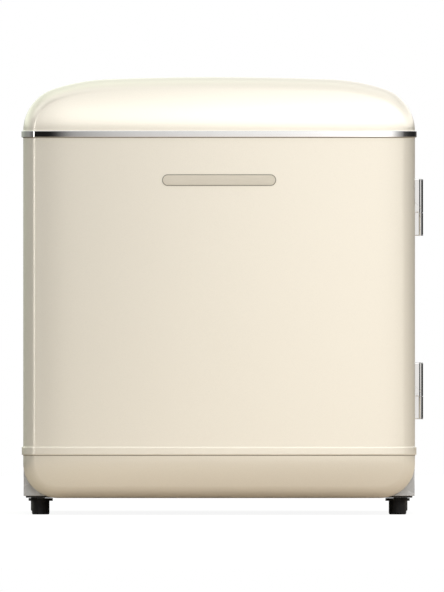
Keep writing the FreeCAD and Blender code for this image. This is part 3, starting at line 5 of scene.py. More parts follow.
import bmesh
import bpy
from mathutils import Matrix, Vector


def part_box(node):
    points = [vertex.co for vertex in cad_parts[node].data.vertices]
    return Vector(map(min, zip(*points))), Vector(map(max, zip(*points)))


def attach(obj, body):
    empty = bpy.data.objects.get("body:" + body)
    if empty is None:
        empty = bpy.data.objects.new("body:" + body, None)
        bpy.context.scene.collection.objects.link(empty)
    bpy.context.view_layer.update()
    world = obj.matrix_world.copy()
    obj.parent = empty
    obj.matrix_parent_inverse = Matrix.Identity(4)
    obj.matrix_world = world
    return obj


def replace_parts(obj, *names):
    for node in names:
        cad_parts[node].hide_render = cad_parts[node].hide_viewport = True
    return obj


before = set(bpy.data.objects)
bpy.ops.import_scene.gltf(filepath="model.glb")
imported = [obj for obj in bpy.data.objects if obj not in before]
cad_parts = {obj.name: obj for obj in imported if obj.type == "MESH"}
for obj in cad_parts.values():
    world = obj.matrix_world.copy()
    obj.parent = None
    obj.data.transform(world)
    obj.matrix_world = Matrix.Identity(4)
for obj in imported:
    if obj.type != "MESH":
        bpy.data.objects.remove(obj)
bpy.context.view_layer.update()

MM = 0.001


# ---------------------------------------------------------------- places from the frame
SKIN_LOW, SKIN_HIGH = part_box("door_skin")
STRIP_LOW, STRIP_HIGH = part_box("top_strip")
BAND_LOW, BAND_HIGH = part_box("lower_band")
MIDDLE = (SKIN_LOW.x + SKIN_HIGH.x) / 2
HALF = (SKIN_HIGH.x - SKIN_LOW.x) / 2
FRONT, REAR = SKIN_LOW.y, SKIN_HIGH.y
SOLE, CROWN = SKIN_LOW.z, SKIN_HIGH.z
SPRING = STRIP_HIGH.z

# ---------------------------------------------------------------- the door's form
CORNER = 39 * MM                  # lower corners, seen from the front
RIM = 14 * MM                     # rounding from the face to the side, across
RIM_DEEP = 17 * MM                # the same rounding, front to back
LEAN_RADIUS = 120 * MM            # how the dome leans back
SOLE_RADIUS = 100 * MM            # how the door rolls under below the band
DOME_CORNER = 50 * MM
DOME_TURN = math.radians(72)
DOME_CROWN = 3200 * MM
FACE_CROWN = 3000 * MM            # the face's slight crown from side to side
ROLL_REACH = 62 * MM              # the face's soft roll towards its sides
ROLL_DROP = 2.6 * MM
SHEET = 0.8 * MM
HEM = 6 * MM
TUCK = 0.4 * MM                   # how far a band's back reaches into the skin

# mesh fineness
SAME_POINT = 1e-7
OUTLINE_POINTS = 640
CORNER_STEPS = 60
SHOULDER_STEPS = 24
LEG_STEPS = 40
SIDE_STEPS = 6
RIM_STEPS = 26
FACE_SPOKES = 60


# ---------------------------------------------------------------- mesh helpers
def new_piece(name, verts, faces, body, look, sharp=None):
    """A mesh piece riding on a body, with its own look; edges over sharp degrees stay crisp."""
    mesh = bpy.data.meshes.new(name)
    mesh.from_pydata([tuple(v) for v in verts], [], faces)
    mesh.validate()
    form = bmesh.new()
    form.from_mesh(mesh)
    bmesh.ops.remove_doubles(form, verts=form.verts, dist=SAME_POINT)
    bmesh.ops.recalc_face_normals(form, faces=form.faces)
    form.to_mesh(mesh)
    form.free()
    mesh.shade_smooth()
    if sharp is not None:
        mesh.set_sharp_from_angle(angle=math.radians(sharp))
    piece = bpy.data.objects.new(name, mesh)
    bpy.context.scene.collection.objects.link(piece)
    mesh.materials.append(look)
    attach(piece, body)
    return piece


def arc(centre, radius, start, end, count):
    """Points on an arc in the x-z plane, turning from start to end."""
    points = []
    for i in range(count + 1):
        turn = start + (end - start) * i / count
        points.append((centre[0] + radius * math.cos(turn), centre[1] + radius * math.sin(turn)))
    return points


def evenly(points, count):
    """The closed line through points, sampled again at count even steps."""
    closed = points + points[:1]
    runs = [0.0]
    for a, b in zip(closed, closed[1:]):
        runs.append(runs[-1] + math.dist(a, b))
    sampled, k = [], 0
    for i in range(count):
        at = runs[-1] * i / count
        while runs[k + 1] < at:
            k += 1
        span = runs[k + 1] - runs[k] or 1
        t = (at - runs[k]) / span
        a, b = closed[k], closed[k + 1]
        sampled.append((a[0] + (b[0] - a[0]) * t, a[1] + (b[1] - a[1]) * t))
    return sampled


def dome_points(inset, rise):
    """The arch from the right side over to the left, inset from the door's outline."""
    wide, tall = HALF - inset, rise - inset
    corner, crown = DOME_CORNER - inset, DOME_CROWN - inset
    run, drop, spare = wide - corner, crown - tall, crown - corner
    slack = run * math.cos(DOME_TURN) + drop * math.sin(DOME_TURN) - spare
    shoulder = corner - (spare**2 - run**2 - drop**2) / (2 * slack)
    step = corner - shoulder
    knee = (run + step * math.cos(DOME_TURN), step * math.sin(DOME_TURN))
    top_turn = math.atan2(knee[1] + drop, knee[0])
    right = arc((run, 0), corner, 0, DOME_TURN, CORNER_STEPS)
    right += arc(knee, shoulder, DOME_TURN, top_turn, SHOULDER_STEPS)[1:]
    right += arc((0, -drop), crown, top_turn, math.pi / 2, CORNER_STEPS)[1:]
    return right + [(-x, z) for x, z in reversed(right[:-1])]


def door_outline(inset=0.0):
    """The door's outline in the x-z plane, counter-clockwise from the right spring point."""
    arch = [(MIDDLE + x, SPRING + z) for x, z in dome_points(inset, CROWN - SPRING)]
    low, corner = SOLE + inset, CORNER - inset
    left = MIDDLE - HALF + inset
    right = MIDDLE + HALF - inset
    legs = arc((left + corner, low + corner), corner, math.pi, 1.5 * math.pi, LEG_STEPS)
    legs += arc((right - corner, low + corner), corner, 1.5 * math.pi, 2 * math.pi, LEG_STEPS)
    return evenly(arch + legs, OUTLINE_POINTS)


# ---------------------------------------------------------------- door surface
def front_depth(x, z):
    """How far the door's face at (x, z) lies behind its foremost plane."""
    across = abs(x - MIDDLE)
    depth = across**2 / (2 * FACE_CROWN)
    roll = max(0.0, across - (HALF - ROLL_REACH)) / ROLL_REACH
    depth += ROLL_DROP * roll**3
    up, down = z - SPRING, BAND_LOW.z - z
    if up > 0:
        depth += LEAN_RADIUS - math.sqrt(LEAN_RADIUS**2 - up**2)
    if down > 0:
        depth += SOLE_RADIUS - math.sqrt(SOLE_RADIUS**2 - down**2)
    return depth


def rim_round(inset):
    """The rounding from the face to the side, inset from the outline."""
    if inset >= RIM:
        return 0.0
    t = 1 - inset / RIM
    return RIM_DEEP * (1 - math.sqrt(max(0.0, 1 - t * t)))


def hem_rings(outer):
    """The skin's turned-in hem round the door's back, from its free edge out to the side."""
    near, far = door_outline(SHEET), door_outline(HEM)
    return [
        [(x, REAR + 2 * SHEET, z) for x, z in far],
        [(x, REAR, z) for x, z in far],
        [(x, REAR, z) for x, z in near],
        [(x, REAR - SHEET, z) for x, z in outer],
    ]


def side_rings(outer):
    """The skin's flat side, from the hem forward to where the rim begins to round."""
    back = REAR - 1.6 * SHEET
    fronts = [FRONT + front_depth(x, z) + RIM_DEEP for x, z in outer]
    rings = []
    for k in range(SIDE_STEPS + 1):
        t = k / SIDE_STEPS
        rings.append([(x, back * (1 - t) + y * t, z) for (x, z), y in zip(outer, fronts)])
    return rings


def rim_rings():
    """The rounding from the side to the face."""
    rings = []
    for k in range(1, RIM_STEPS + 1):
        inset = RIM * (1 - math.cos(math.pi / 2 * k / RIM_STEPS))
        rings.append(
            [(x, FRONT + front_depth(x, z) + rim_round(inset), z) for x, z in door_outline(inset)]
        )
    return rings


def face_rings(edge, hub_z):
    """The face, as smaller and smaller copies of the rim's inner edge."""
    rings = []
    for k in range(1, FACE_SPOKES):
        t = 1 - (k / FACE_SPOKES)
        ring = [(MIDDLE + (x - MIDDLE) * t, hub_z + (z - hub_z) * t) for x, _, z in edge]
        rings.append([(x, FRONT + front_depth(x, z), z) for x, z in ring])
    return rings


def ring_faces(rings, count):
    """Quads between each ring of count points and the next."""
    faces = []
    for k in range(rings - 1):
        near, far = k * count, (k + 1) * count
        for i in range(count):
            j = (i + 1) % count
            faces.append((near + i, near + j, far + j, far + i))
    return faces


def door_shell(look):
    """The door's painted steel skin: face, rounded rim, sides and the hem round its back."""
    outer = door_outline()
    rings = hem_rings(outer) + side_rings(outer) + rim_rings()
    hub_z = (SOLE + CROWN) / 2
    rings += face_rings(rings[-1], hub_z)
    verts = [v for ring in rings for v in ring]
    faces = ring_faces(len(rings), OUTLINE_POINTS)
    hub, last = len(verts), len(verts) - OUTLINE_POINTS
    verts.append((MIDDLE, FRONT + front_depth(MIDDLE, hub_z), hub_z))
    for i in range(OUTLINE_POINTS):
        faces.append((last + i, last + (i + 1) % OUTLINE_POINTS, hub))
    piece = new_piece("door_outer_shell", verts, faces, "door", look, sharp=50)
    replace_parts(piece, "door_skin", "door_foam")


PLAN_SIDE_STEPS = 9
PLAN_FACE_STEPS = 160


def plan_path(z):
    """The door's plan line at height z, with its outward normals.

    It runs from the left rear corner round the front to the right rear corner.
    """
    left = MIDDLE - HALF
    back, front = REAR - TUCK, FRONT + front_depth(left, z) + RIM_DEEP
    side = [(left, back)]
    for k in range(1, PLAN_SIDE_STEPS):
        side.append((left, back + (front - REAR) * k / PLAN_SIDE_STEPS))
    for k in range(RIM_STEPS + 1):
        inset = RIM * (1 - math.cos(math.pi / 2 * k / RIM_STEPS))
        x = left + inset
        side.append((x, FRONT + front_depth(x, z) + rim_round(inset)))
    span = 2 * (HALF - RIM)
    face = []
    for k in range(1, PLAN_FACE_STEPS):
        x = left + RIM + span * k / PLAN_FACE_STEPS
        face.append((x, FRONT + front_depth(x, z)))
    points = side + face + [(2 * MIDDLE - x, y) for x, y in reversed(side)]
    normals = []
    for i in range(len(points)):
        before, after = points[max(0, i - 1)], points[min(len(points) - 1, i + 1)]
        run = Vector((after[0] - before[0], after[1] - before[1])).normalized()
        normals.append((run.y, -run.x))
    return points, normals


def sweep_band(name, profile, z_mid, look, sharp=None):
    """A band round the door: profile is a closed line of (proud, z) points."""
    points, normals = plan_path(z_mid)
    normals[0], normals[-1] = (-1.0, 0.0), (1.0, 0.0)
    n = len(profile)
    verts = []
    for (x, y), (nx, ny) in zip(points, normals):
        for proud, z in profile:
            verts.append((x + nx * proud, min(y + ny * proud, REAR), z))
    faces = ring_faces(len(points), n)
    faces.append(tuple(range(n)))
    faces.append(tuple(range(len(verts) - n, len(verts))))
    return new_piece(name, verts, faces, "door", look, sharp=sharp)


def quarter_round(proud, z, radius, start, count):
    """A quarter turn of a band's edge, as (proud, z) points round (proud, z)."""
    return arc((proud, z), radius, start, start + math.pi / 2, count)


def chrome_strip(look):
    """The bright trim strip, slightly crowned, with its two small edge bevels."""
    low, high = STRIP_LOW.z, STRIP_HIGH.z
    proud = SKIN_LOW.x - STRIP_LOW.x
    bevel, crown, steps = 0.35 * MM, 0.05 * MM, 8
    profile = [(-TUCK, low), (proud - bevel, low)]
    for k in range(steps + 1):
        t = k / steps
        z = low + bevel + (high - low - 2 * bevel) * t
        profile.append((proud - crown * (2 * t - 1) ** 2, z))
    profile += [(proud - bevel, high), (-TUCK, high)]
    piece = sweep_band("trim_strip_bright", profile, (low + high) / 2, look, sharp=28)
    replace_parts(piece, "top_strip")


def dome_lip(look):
    """The pressed lip of the dome just above the trim strip."""
    low = STRIP_HIGH.z - 0.6 * MM
    deep, half, sunk, steps = 0.7 * MM, 0.9 * MM, 0.1 * MM, 12
    profile = []
    for k in range(steps + 1):
        turn = -math.pi / 2 + math.pi * k / steps
        profile.append((deep * math.cos(turn) - sunk, low + half + half * math.sin(turn)))
    back = 0.6 * MM
    profile += [(-back, low + 2 * half), (-back, low)]
    piece = sweep_band("dome_lip_bead", profile, low, look)


def lower_rib(look):
    """The painted band pressed round the door near its foot, with a soft upper edge."""
    low, high = BAND_LOW.z, BAND_HIGH.z
    proud = SKIN_LOW.x - BAND_LOW.x
    tight, soft, flat_steps = 0.6 * MM, 0.9 * MM, 8
    flat = high - soft - low - tight
    profile = [(-TUCK, low + 0.1 * MM), (proud - 0.5 * MM, low)]
    profile += quarter_round(proud - tight, low + tight, tight, -math.pi / 2, 4)
    for k in range(1, flat_steps):
        profile.append((proud, low + tight + flat * k / flat_steps))
    profile += quarter_round(proud - soft, high - soft, soft, 0.0, 8)
    profile.append((-TUCK, high))
    piece = sweep_band("lower_rib_band", profile, (low + high) / 2, look)
    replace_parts(piece, "lower_band")


def shadow_line_bead(name, band_low, look):
    """A thin dark bead under a band on the door, standing in for the shadow line there: painted shadow."""
    low, high = band_low - 0.9 * MM, band_low + TUCK
    proud, ease = 0.22 * MM, 0.2 * MM
    profile = [(-TUCK, low), (0.6 * proud, low), (proud, low + ease), (proud, high), (-TUCK, high)]
    piece = sweep_band(name, profile, (low + high) / 2, look, sharp=40)


def door_shadow_beads(look):
    """The dark beads under the trim strip and under the lower band, put there as painted shadow lines."""
    shadow_line_bead("trim_strip_shadow_bead", STRIP_LOW.z, look)
    shadow_line_bead("lower_rib_shadow_bead", BAND_LOW.z, look)


# ---------------------------------------------------------------- the badge
END_STEPS = 24
RUN_STEPS = 40

# (inset, proud) in millimetres, from the door's face up and inwards
BADGE_RIM = (
    (0.0, -0.3), (0.0, 0.55), (0.12, 0.74), (0.3, 0.8),
    (0.7, 0.8), (0.86, 0.72), (0.95, 0.5), (0.95, 0.2),
)
BADGE_FIELD = (
    (0.9, 0.1), (0.9, 0.38), (1.3, 0.42), (2.2, 0.45),
    (3.4, 0.47), (4.6, 0.48), (5.6, 0.49), (6.4, 0.49),
)


def stadium(middle, half_long, half_tall):
    """A lying capsule outline in the x-z plane."""
    run = half_long - half_tall
    right = arc((middle[0] + run, middle[1]), half_tall, -math.pi / 2, math.pi / 2, END_STEPS)
    left = arc((middle[0] - run, middle[1]), half_tall, math.pi / 2, 1.5 * math.pi, END_STEPS)
    step = 2 * run / RUN_STEPS
    top = [(right[-1][0] - step * k, right[-1][1]) for k in range(1, RUN_STEPS)]
    foot = [(left[-1][0] + step * k, left[-1][1]) for k in range(1, RUN_STEPS)]
    return right + top + left + foot


def badge_part(name, rings, cap, look):
    """One capsule-shaped part of the badge: rings of (inset, proud), closed by a cap or left open."""
    low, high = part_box("badge_plate")
    middle = ((low.x + high.x) / 2, (low.z + high.z) / 2)
    half_long, half_tall = (high.x - low.x) / 2, (high.z - low.z) / 2
    verts = []
    for inset, proud in rings:
        for x, z in stadium(middle, half_long - inset * MM, half_tall - inset * MM):
            verts.append((x, FRONT + front_depth(x, z) - proud * MM, z))
    count = len(verts) // len(rings)
    faces = ring_faces(len(rings), count)
    if cap:
        faces.append(tuple(range(len(verts) - count, len(verts))))
    piece = new_piece(name, verts, faces, "door", look, sharp=40)
    return piece


def door_badge(rim_look, field_look):
    """The small plate on the door: a thin enamelled rim round a pale satin field, left blank."""
    badge_part("badge_plaque_rim", BADGE_RIM, False, rim_look)
    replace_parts(badge_part("badge_plaque_field", BADGE_FIELD, True, field_look), "badge_plate")


# ---------------------------------------------------------------- node helpers
class Nodes:
    """One material's node tree, with short ways to add what the looks share."""

    def __init__(self, name):
        self.look = bpy.data.materials.new(name)
        self.look.use_nodes = True
        self.tree = self.look.node_tree
        self.shader = self.tree.nodes["Principled BSDF"]
        self.place = self.tree.nodes.new("ShaderNodeTexCoord").outputs["Object"]

    def put(self, **values):
        """Sets the shader's own sockets, an underscore standing for a space."""
        for key, value in values.items():
            self.shader.inputs[key.replace("_", " ")].default_value = value

    def link(self, a, b):
        self.tree.links.new(a, b)

    def noise(self, size, detail=2.0, rough=0.5, stretch=None):
        """A noise whose grains are about size metres across."""
        node = self.tree.nodes.new("ShaderNodeTexNoise")
        node.inputs["Scale"].default_value = 1.0
        node.inputs["Detail"].default_value = detail
        node.inputs["Roughness"].default_value = rough
        self.link(self.scaled(size, stretch), node.inputs["Vector"])
        return node.outputs["Fac"]

    def cells(self, size, output="Distance"):
        """Cells about size metres across."""
        node = self.tree.nodes.new("ShaderNodeTexVoronoi")
        node.inputs["Scale"].default_value = 1.0
        self.link(self.scaled(size), node.inputs["Vector"])
        return node.outputs[output]

    def scaled(self, size, stretch=None):
        """Object coordinates counted in grains, longer along an axis by its stretch."""
        node = self.tree.nodes.new("ShaderNodeMapping")
        along = stretch or (1.0, 1.0, 1.0)
        node.inputs["Scale"].default_value = [1.0 / (size * s) for s in along]
        self.link(self.place, node.inputs["Vector"])
        return node.outputs["Vector"]

    def between(self, fac, low, high, out_low, out_high):
        """Carries low to high over to out_low to out_high, held at both ends."""
        node = self.tree.nodes.new("ShaderNodeMapRange")
        node.inputs["From Min"].default_value = low
        node.inputs["From Max"].default_value = high
        node.inputs["To Min"].default_value = out_low
        node.inputs["To Max"].default_value = out_high
        self.link(fac, node.inputs["Value"])
        return node.outputs["Result"]

    def tints(self, fac, *stops):
        """A colour ramp of (place, colour) stops."""
        node = self.tree.nodes.new("ShaderNodeValToRGB")
        ramp = node.color_ramp
        while len(ramp.elements) < len(stops):
            ramp.elements.new(0.5)
        for element, (at, colour) in zip(ramp.elements, stops):
            element.position = at
            element.color = (*colour, 1.0)
        self.link(fac, node.inputs["Fac"])
        return node.outputs["Color"]

    def colour(self, output):
        self.link(output, self.shader.inputs["Base Color"])

    def roughness(self, output):
        self.link(output, self.shader.inputs["Roughness"])

    def bumps(self, *layers):
        """Each layer is (height, distance in metres)."""
        normal = None
        for height, distance in layers:
            node = self.tree.nodes.new("ShaderNodeBump")
            node.inputs["Strength"].default_value = 1.0
            node.inputs["Distance"].default_value = distance
            self.link(height, node.inputs["Height"])
            if normal is not None:
                self.link(normal, node.inputs["Normal"])
            normal = node.outputs["Normal"]
        self.link(normal, self.shader.inputs["Normal"])


def srgb(*values):
    """Display values 0 to 255 as linear light."""
    return tuple(((v / 255 + 0.055) / 1.055) ** 2.4 if v > 10 else v / 255 / 12.92 for v in values)


def shade(colour, by):
    """A lighter or darker colour, none of its parts over 1."""
    return tuple(min(1.0, c * by) for c in colour)


# ---------------------------------------------------------------- looks
def cream_paint():
    """Pearl cream lacquer on pressed steel: fine flake, faint orange peel, clear coat."""
    n = Nodes("cream_pearl_lacquer")
    cream = srgb(249, 243, 229)
    flake = n.noise(0.9 * MM, 3.0, 0.7)
    n.colour(n.tints(flake, (0.30, shade(cream, 0.97)), (0.50, cream), (0.72, shade(cream, 1.02))))
    n.roughness(n.between(flake, 0.0, 1.0, 0.28, 0.32))
    n.bumps((n.noise(1.3 * MM, 2.0, 0.6), 0.007 * MM), (n.noise(5.0 * MM, 1.0, 0.4), 0.012 * MM))
    n.put(Metallic=0.5, Coat_Weight=0.4, Coat_Roughness=0.06)
    return n.look


def chrome():
    """Bright chrome plate with hairline polishing marks."""
    n = Nodes("bright_chrome_plate")
    smudge = n.noise(26 * MM, 2.0, 0.5)
    hair = n.noise(0.35 * MM, 2.0, 0.7, stretch=(14.0, 14.0, 1.0))
    n.colour(n.tints(smudge, (0.3, (0.865, 0.87, 0.875)), (0.7, (0.89, 0.895, 0.90))))
    n.roughness(n.between(smudge, 0.2, 0.8, 0.05, 0.07))
    n.bumps((hair, 0.0012 * MM))
    n.put(Metallic=1.0)
    return n.look


def galvanised():
    """Hot-dip zinc sheet with its crystal spangle."""
    n = Nodes("galvanised_spangle")
    spangle = n.cells(7 * MM, output="Color")
    grain = n.noise(0.5 * MM, 3.0, 0.7)
    n.colour(n.tints(spangle, (0.1, (0.50, 0.51, 0.52)), (0.9, (0.66, 0.67, 0.68))))
    n.roughness(n.between(spangle, 0.0, 1.0, 0.34, 0.52))
    n.bumps((grain, 0.006 * MM), (n.cells(7 * MM), 0.03 * MM))
    n.put(Metallic=0.85)
    return n.look


def sheet_black():
    """Powder-coated black steel."""
    n = Nodes("powder_black_steel")
    peel = n.noise(0.8 * MM, 2.0, 0.6)
    n.colour(n.tints(peel, (0.3, (0.012, 0.012, 0.013)), (0.7, (0.022, 0.022, 0.023))))
    n.roughness(n.between(n.noise(12 * MM), 0.3, 0.7, 0.42, 0.58))
    n.bumps((peel, 0.05 * MM))
    return n.look


def liner_white():
    """Vacuum-formed white polystyrene, satin with a fine leathery grain."""
    n = Nodes("white_polystyrene")
    grain = n.noise(0.7 * MM, 3.0, 0.6)
    n.colour(n.tints(n.noise(90 * MM, 2.0), (0.35, (0.80, 0.81, 0.80)), (0.65, (0.86, 0.87, 0.86))))
    n.roughness(n.between(grain, 0.3, 0.7, 0.26, 0.38))
    n.bumps((grain, 0.03 * MM), (n.noise(22 * MM, 1.0), 0.05 * MM))
    n.put(Subsurface_Weight=0.08, Subsurface_Scale=0.004)
    return n.look


def foam_yellow():
    """Blown polyurethane foam with open cells, its colour darker in the cells' pits as painted shade."""
    n = Nodes("blown_foam")
    pores = n.cells(1.6 * MM)
    # darker towards each pit's centre: painted shade in the pores
    n.colour(n.tints(pores, (0.05, (0.34, 0.23, 0.10)), (0.6, (0.74, 0.62, 0.36))))
    n.roughness(n.between(pores, 0.0, 0.6, 0.95, 0.7))
    n.bumps((pores, 0.4 * MM), (n.noise(14 * MM, 3.0), 0.8 * MM))
    return n.look


def nylon_black():
    """Moulded black nylon with a spark-eroded satin."""
    n = Nodes("moulded_black_nylon")
    spark = n.noise(0.4 * MM, 3.0, 0.7)
    n.colour(n.tints(n.noise(9 * MM, 2.0), (0.3, (0.008, 0.008, 0.008)), (0.7, (0.014, 0.014, 0.015))))
    n.roughness(n.between(spark, 0.3, 0.7, 0.38, 0.52))
    n.bumps((spark, 0.02 * MM))
    n.put(Specular_IOR_Level=0.18)
    return n.look


def zinc():
    """Zinc-plated fasteners, bluish and slightly dulled."""
    n = Nodes("zinc_plated_steel")
    dull = n.noise(2.5 * MM, 3.0, 0.6)
    n.colour(n.tints(dull, (0.3, (0.50, 0.52, 0.55)), (0.7, (0.68, 0.69, 0.70))))
    n.roughness(n.between(dull, 0.3, 0.7, 0.24, 0.40))
    n.bumps((n.noise(0.3 * MM, 2.0, 0.6), 0.006 * MM))
    n.put(Metallic=1.0)
    return n.look


def gasket_grey():
    """Soft light grey magnetic seal."""
    n = Nodes("soft_seal_vinyl")
    bloom = n.noise(18 * MM, 3.0, 0.6)
    n.colour(n.tints(bloom, (0.3, (0.64, 0.64, 0.62)), (0.7, (0.71, 0.71, 0.69))))
    n.roughness(n.between(bloom, 0.3, 0.7, 0.55, 0.7))
    n.bumps((n.noise(0.5 * MM, 2.0, 0.6), 0.02 * MM))
    n.put(Subsurface_Weight=0.1, Subsurface_Scale=0.003)
    return n.look


def rubber_black():
    """Black rubber with a dusty bloom."""
    n = Nodes("black_mount_rubber")
    bloom = n.noise(6 * MM, 4.0, 0.65)
    n.colour(n.tints(bloom, (0.35, (0.010, 0.010, 0.010)), (0.75, (0.035, 0.034, 0.032))))
    n.roughness(n.between(bloom, 0.3, 0.7, 0.6, 0.85))
    n.bumps((n.noise(0.5 * MM, 3.0, 0.7), 0.03 * MM))
    return n.look


def badge_enamel():
    """Taupe enamel on a thin metal plate."""
    n = Nodes("taupe_enamel")
    fleck = n.noise(0.6 * MM, 2.0, 0.6)
    taupe = srgb(150, 144, 129)
    n.colour(n.tints(fleck, (0.3, shade(taupe, 0.92)), (0.7, shade(taupe, 1.08))))
    n.roughness(n.between(fleck, 0.3, 0.7, 0.34, 0.42))
    n.bumps((fleck, 0.01 * MM))
    n.put(Metallic=0.3)
    return n.look


def shadow_line_taupe():
    """Matt taupe for the beads that stand in for the shadow lines under the bands: painted shadow, slightly
    uneven.
    """
    n = Nodes("taupe_painted_shadow_line")
    knead = n.noise(3.0 * MM, 3.0, 0.6)
    # the dark taupe of the painted shadow lines under the bands
    taupe = srgb(164, 154, 138)
    n.colour(n.tints(knead, (0.3, shade(taupe, 0.92)), (0.7, shade(taupe, 1.05))))
    n.roughness(n.between(knead, 0.3, 0.7, 0.6, 0.75))
    n.bumps((n.noise(0.6 * MM, 2.0, 0.6), 0.01 * MM))
    return n.look


def badge_field():
    """Pale champagne satin lacquer on the badge's sunk field."""
    n = Nodes("champagne_satin")
    brush = n.noise(0.5 * MM, 2.0, 0.6, stretch=(18.0, 1.0, 1.0))
    pale = srgb(226, 219, 204)
    n.colour(n.tints(brush, (0.3, shade(pale, 0.96)), (0.7, shade(pale, 1.03))))
    n.roughness(n.between(brush, 0.3, 0.7, 0.36, 0.44))
    n.bumps((brush, 0.006 * MM))
    n.put(Metallic=0.35)
    return n.look


def aluminium():
    """Roll-bonded evaporator aluminium, brushed and a little frosted."""
    n = Nodes("evaporator_aluminium")
    brush = n.noise(0.5 * MM, 3.0, 0.7, stretch=(1.0, 26.0, 1.0))
    frost = n.noise(16 * MM, 4.0, 0.6)
    n.colour(n.tints(frost, (0.3, (0.62, 0.64, 0.66)), (0.7, (0.82, 0.84, 0.86))))
    n.roughness(n.between(frost, 0.3, 0.7, 0.32, 0.55))
    n.bumps((brush, 0.02 * MM), (n.noise(6 * MM, 2.0), 0.05 * MM))
    n.put(Metallic=0.9)
    return n.look


def clear_plastic(name, tint, through, rough):
    """Moulded see-through plastic with a slight waviness."""
    n = Nodes(name)
    wave = n.noise(9 * MM, 2.0)
    n.colour(n.tints(wave, (0.3, shade(tint, 0.97)), (0.7, tint)))
    n.roughness(n.between(wave, 0.3, 0.7, rough * 0.8, rough * 1.2))
    n.bumps((n.noise(0.8 * MM, 2.0), 0.01 * MM), (wave, 0.05 * MM))
    n.put(Transmission_Weight=through, IOR=1.49)
    return n.look


def wire_white():
    """White plastic-dipped wire."""
    n = Nodes("dipped_white_wire")
    drip = n.noise(4 * MM, 2.0)
    n.colour(n.tints(drip, (0.3, (0.76, 0.77, 0.76)), (0.7, (0.84, 0.85, 0.84))))
    n.roughness(n.between(drip, 0.3, 0.7, 0.22, 0.34))
    n.bumps((drip, 0.08 * MM))
    n.put(Coat_Weight=0.3, Coat_Roughness=0.1)
    return n.look


def knob_white():
    """Glossy moulded knob plastic."""
    n = Nodes("moulded_knob_plastic")
    grain = n.noise(0.5 * MM, 2.0)
    n.colour(n.tints(n.noise(12 * MM), (0.3, (0.70, 0.71, 0.71)), (0.7, (0.78, 0.79, 0.79))))
    n.roughness(n.between(grain, 0.3, 0.7, 0.22, 0.30))
    n.bumps((grain, 0.01 * MM))
    return n.look


def condenser_black():
    """Black dipped condenser tube and wire, with a little dust on top."""
    n = Nodes("dipped_condenser_black")
    dust = n.noise(24 * MM, 4.0, 0.6)
    n.colour(n.tints(dust, (0.35, (0.010, 0.010, 0.011)), (0.8, (0.05, 0.048, 0.045))))
    n.roughness(n.between(dust, 0.3, 0.7, 0.34, 0.6))
    n.bumps((n.noise(1.2 * MM, 2.0), 0.05 * MM))
    return n.look


def pot_black():
    """Stove-enamelled compressor shell."""
    n = Nodes("compressor_enamel")
    peel = n.noise(2.2 * MM, 2.0, 0.5)
    n.colour(n.tints(n.noise(30 * MM, 3.0), (0.35, (0.010, 0.010, 0.011)), (0.75, (0.028, 0.028, 0.028))))
    n.roughness(n.between(peel, 0.3, 0.7, 0.22, 0.36))
    n.bumps((peel, 0.12 * MM))
    return n.look


def copper():
    """Drawn copper tube, part tarnished."""
    n = Nodes("drawn_copper")
    tarnish = n.noise(16 * MM, 4.0, 0.6)
    n.colour(n.tints(tarnish, (0.35, (0.42, 0.16, 0.07)), (0.7, (0.86, 0.42, 0.26))))
    n.roughness(n.between(tarnish, 0.3, 0.7, 0.42, 0.22))
    n.bumps((n.noise(0.6 * MM, 2.0), 0.01 * MM))
    n.put(Metallic=1.0)
    return n.look


def grey_plastic():
    """Grey polypropylene."""
    n = Nodes("grey_polypropylene")
    grain = n.noise(0.9 * MM, 3.0)
    n.colour(n.tints(grain, (0.3, (0.30, 0.31, 0.32)), (0.7, (0.36, 0.37, 0.38))))
    n.roughness(n.between(grain, 0.3, 0.7, 0.4, 0.52))
    n.bumps((grain, 0.03 * MM))
    return n.look


LOOKS = {
    "cream_paint": cream_paint(),
    "polished_chrome": chrome(),
    "galvanised_sheet": galvanised(),
    "black_plate": sheet_black(),
    "white_liner": liner_white(),
    "polyurethane_foam": foam_yellow(),
    "black_nylon": nylon_black(),
    "zinc_steel": zinc(),
    "gasket_rubber": gasket_grey(),
    "black_rubber": rubber_black(),
    "taupe_enamel": badge_enamel(),
    "cold_aluminium": aluminium(),
    "frosty_plastic": clear_plastic("frosted_flap_plastic", (0.86, 0.92, 0.95), 0.55, 0.38),
    "tray_plastic": clear_plastic("clear_tray_plastic", (0.90, 0.95, 0.96), 0.8, 0.14),
    "rack_plastic": clear_plastic("clear_rack_plastic", (0.93, 0.96, 0.97), 0.82, 0.08),
    "shelf_wire": wire_white(),
    "knob_plastic": knob_white(),
    "condenser_black": condenser_black(),
    "pot_black": pot_black(),
    "copper_pipe": copper(),
    "grey_plastic": grey_plastic(),
}


# ---------------------------------------------------------------- carried-over nodes
# eased edges in millimetres
BEVELS = {
    "front_frame": 0.5, "outer_shell": 0.0, "base_pan": 0.5, "foot_rail": 0.3, "inner_liner": 2.5,
    "door_liner": 1.2, "ice_box": 1.5, "thermostat_housing": 1.5, "drip_tray": 0.9, "bottle_rack": 0.9,
    "small_rack": 0.9, "freezer_flap": 1.0, "freezer_collar": 1.0, "relay_cover": 1.0, "finger_pull": 0.5,
    "compressor_pot": 1.0, "evaporating_pan": 1.0, "cord_gland": 0.5, "wall_spacers": 1.2,
    "front_foot_left": 0.5, "front_foot_right": 0.5,
}
FINE_BEVEL = 0.2
ROUND_FROM = 0.8                  # wider edges than this get one more segment
CREASE = math.radians(36)
JOIN = 0.01 * MM


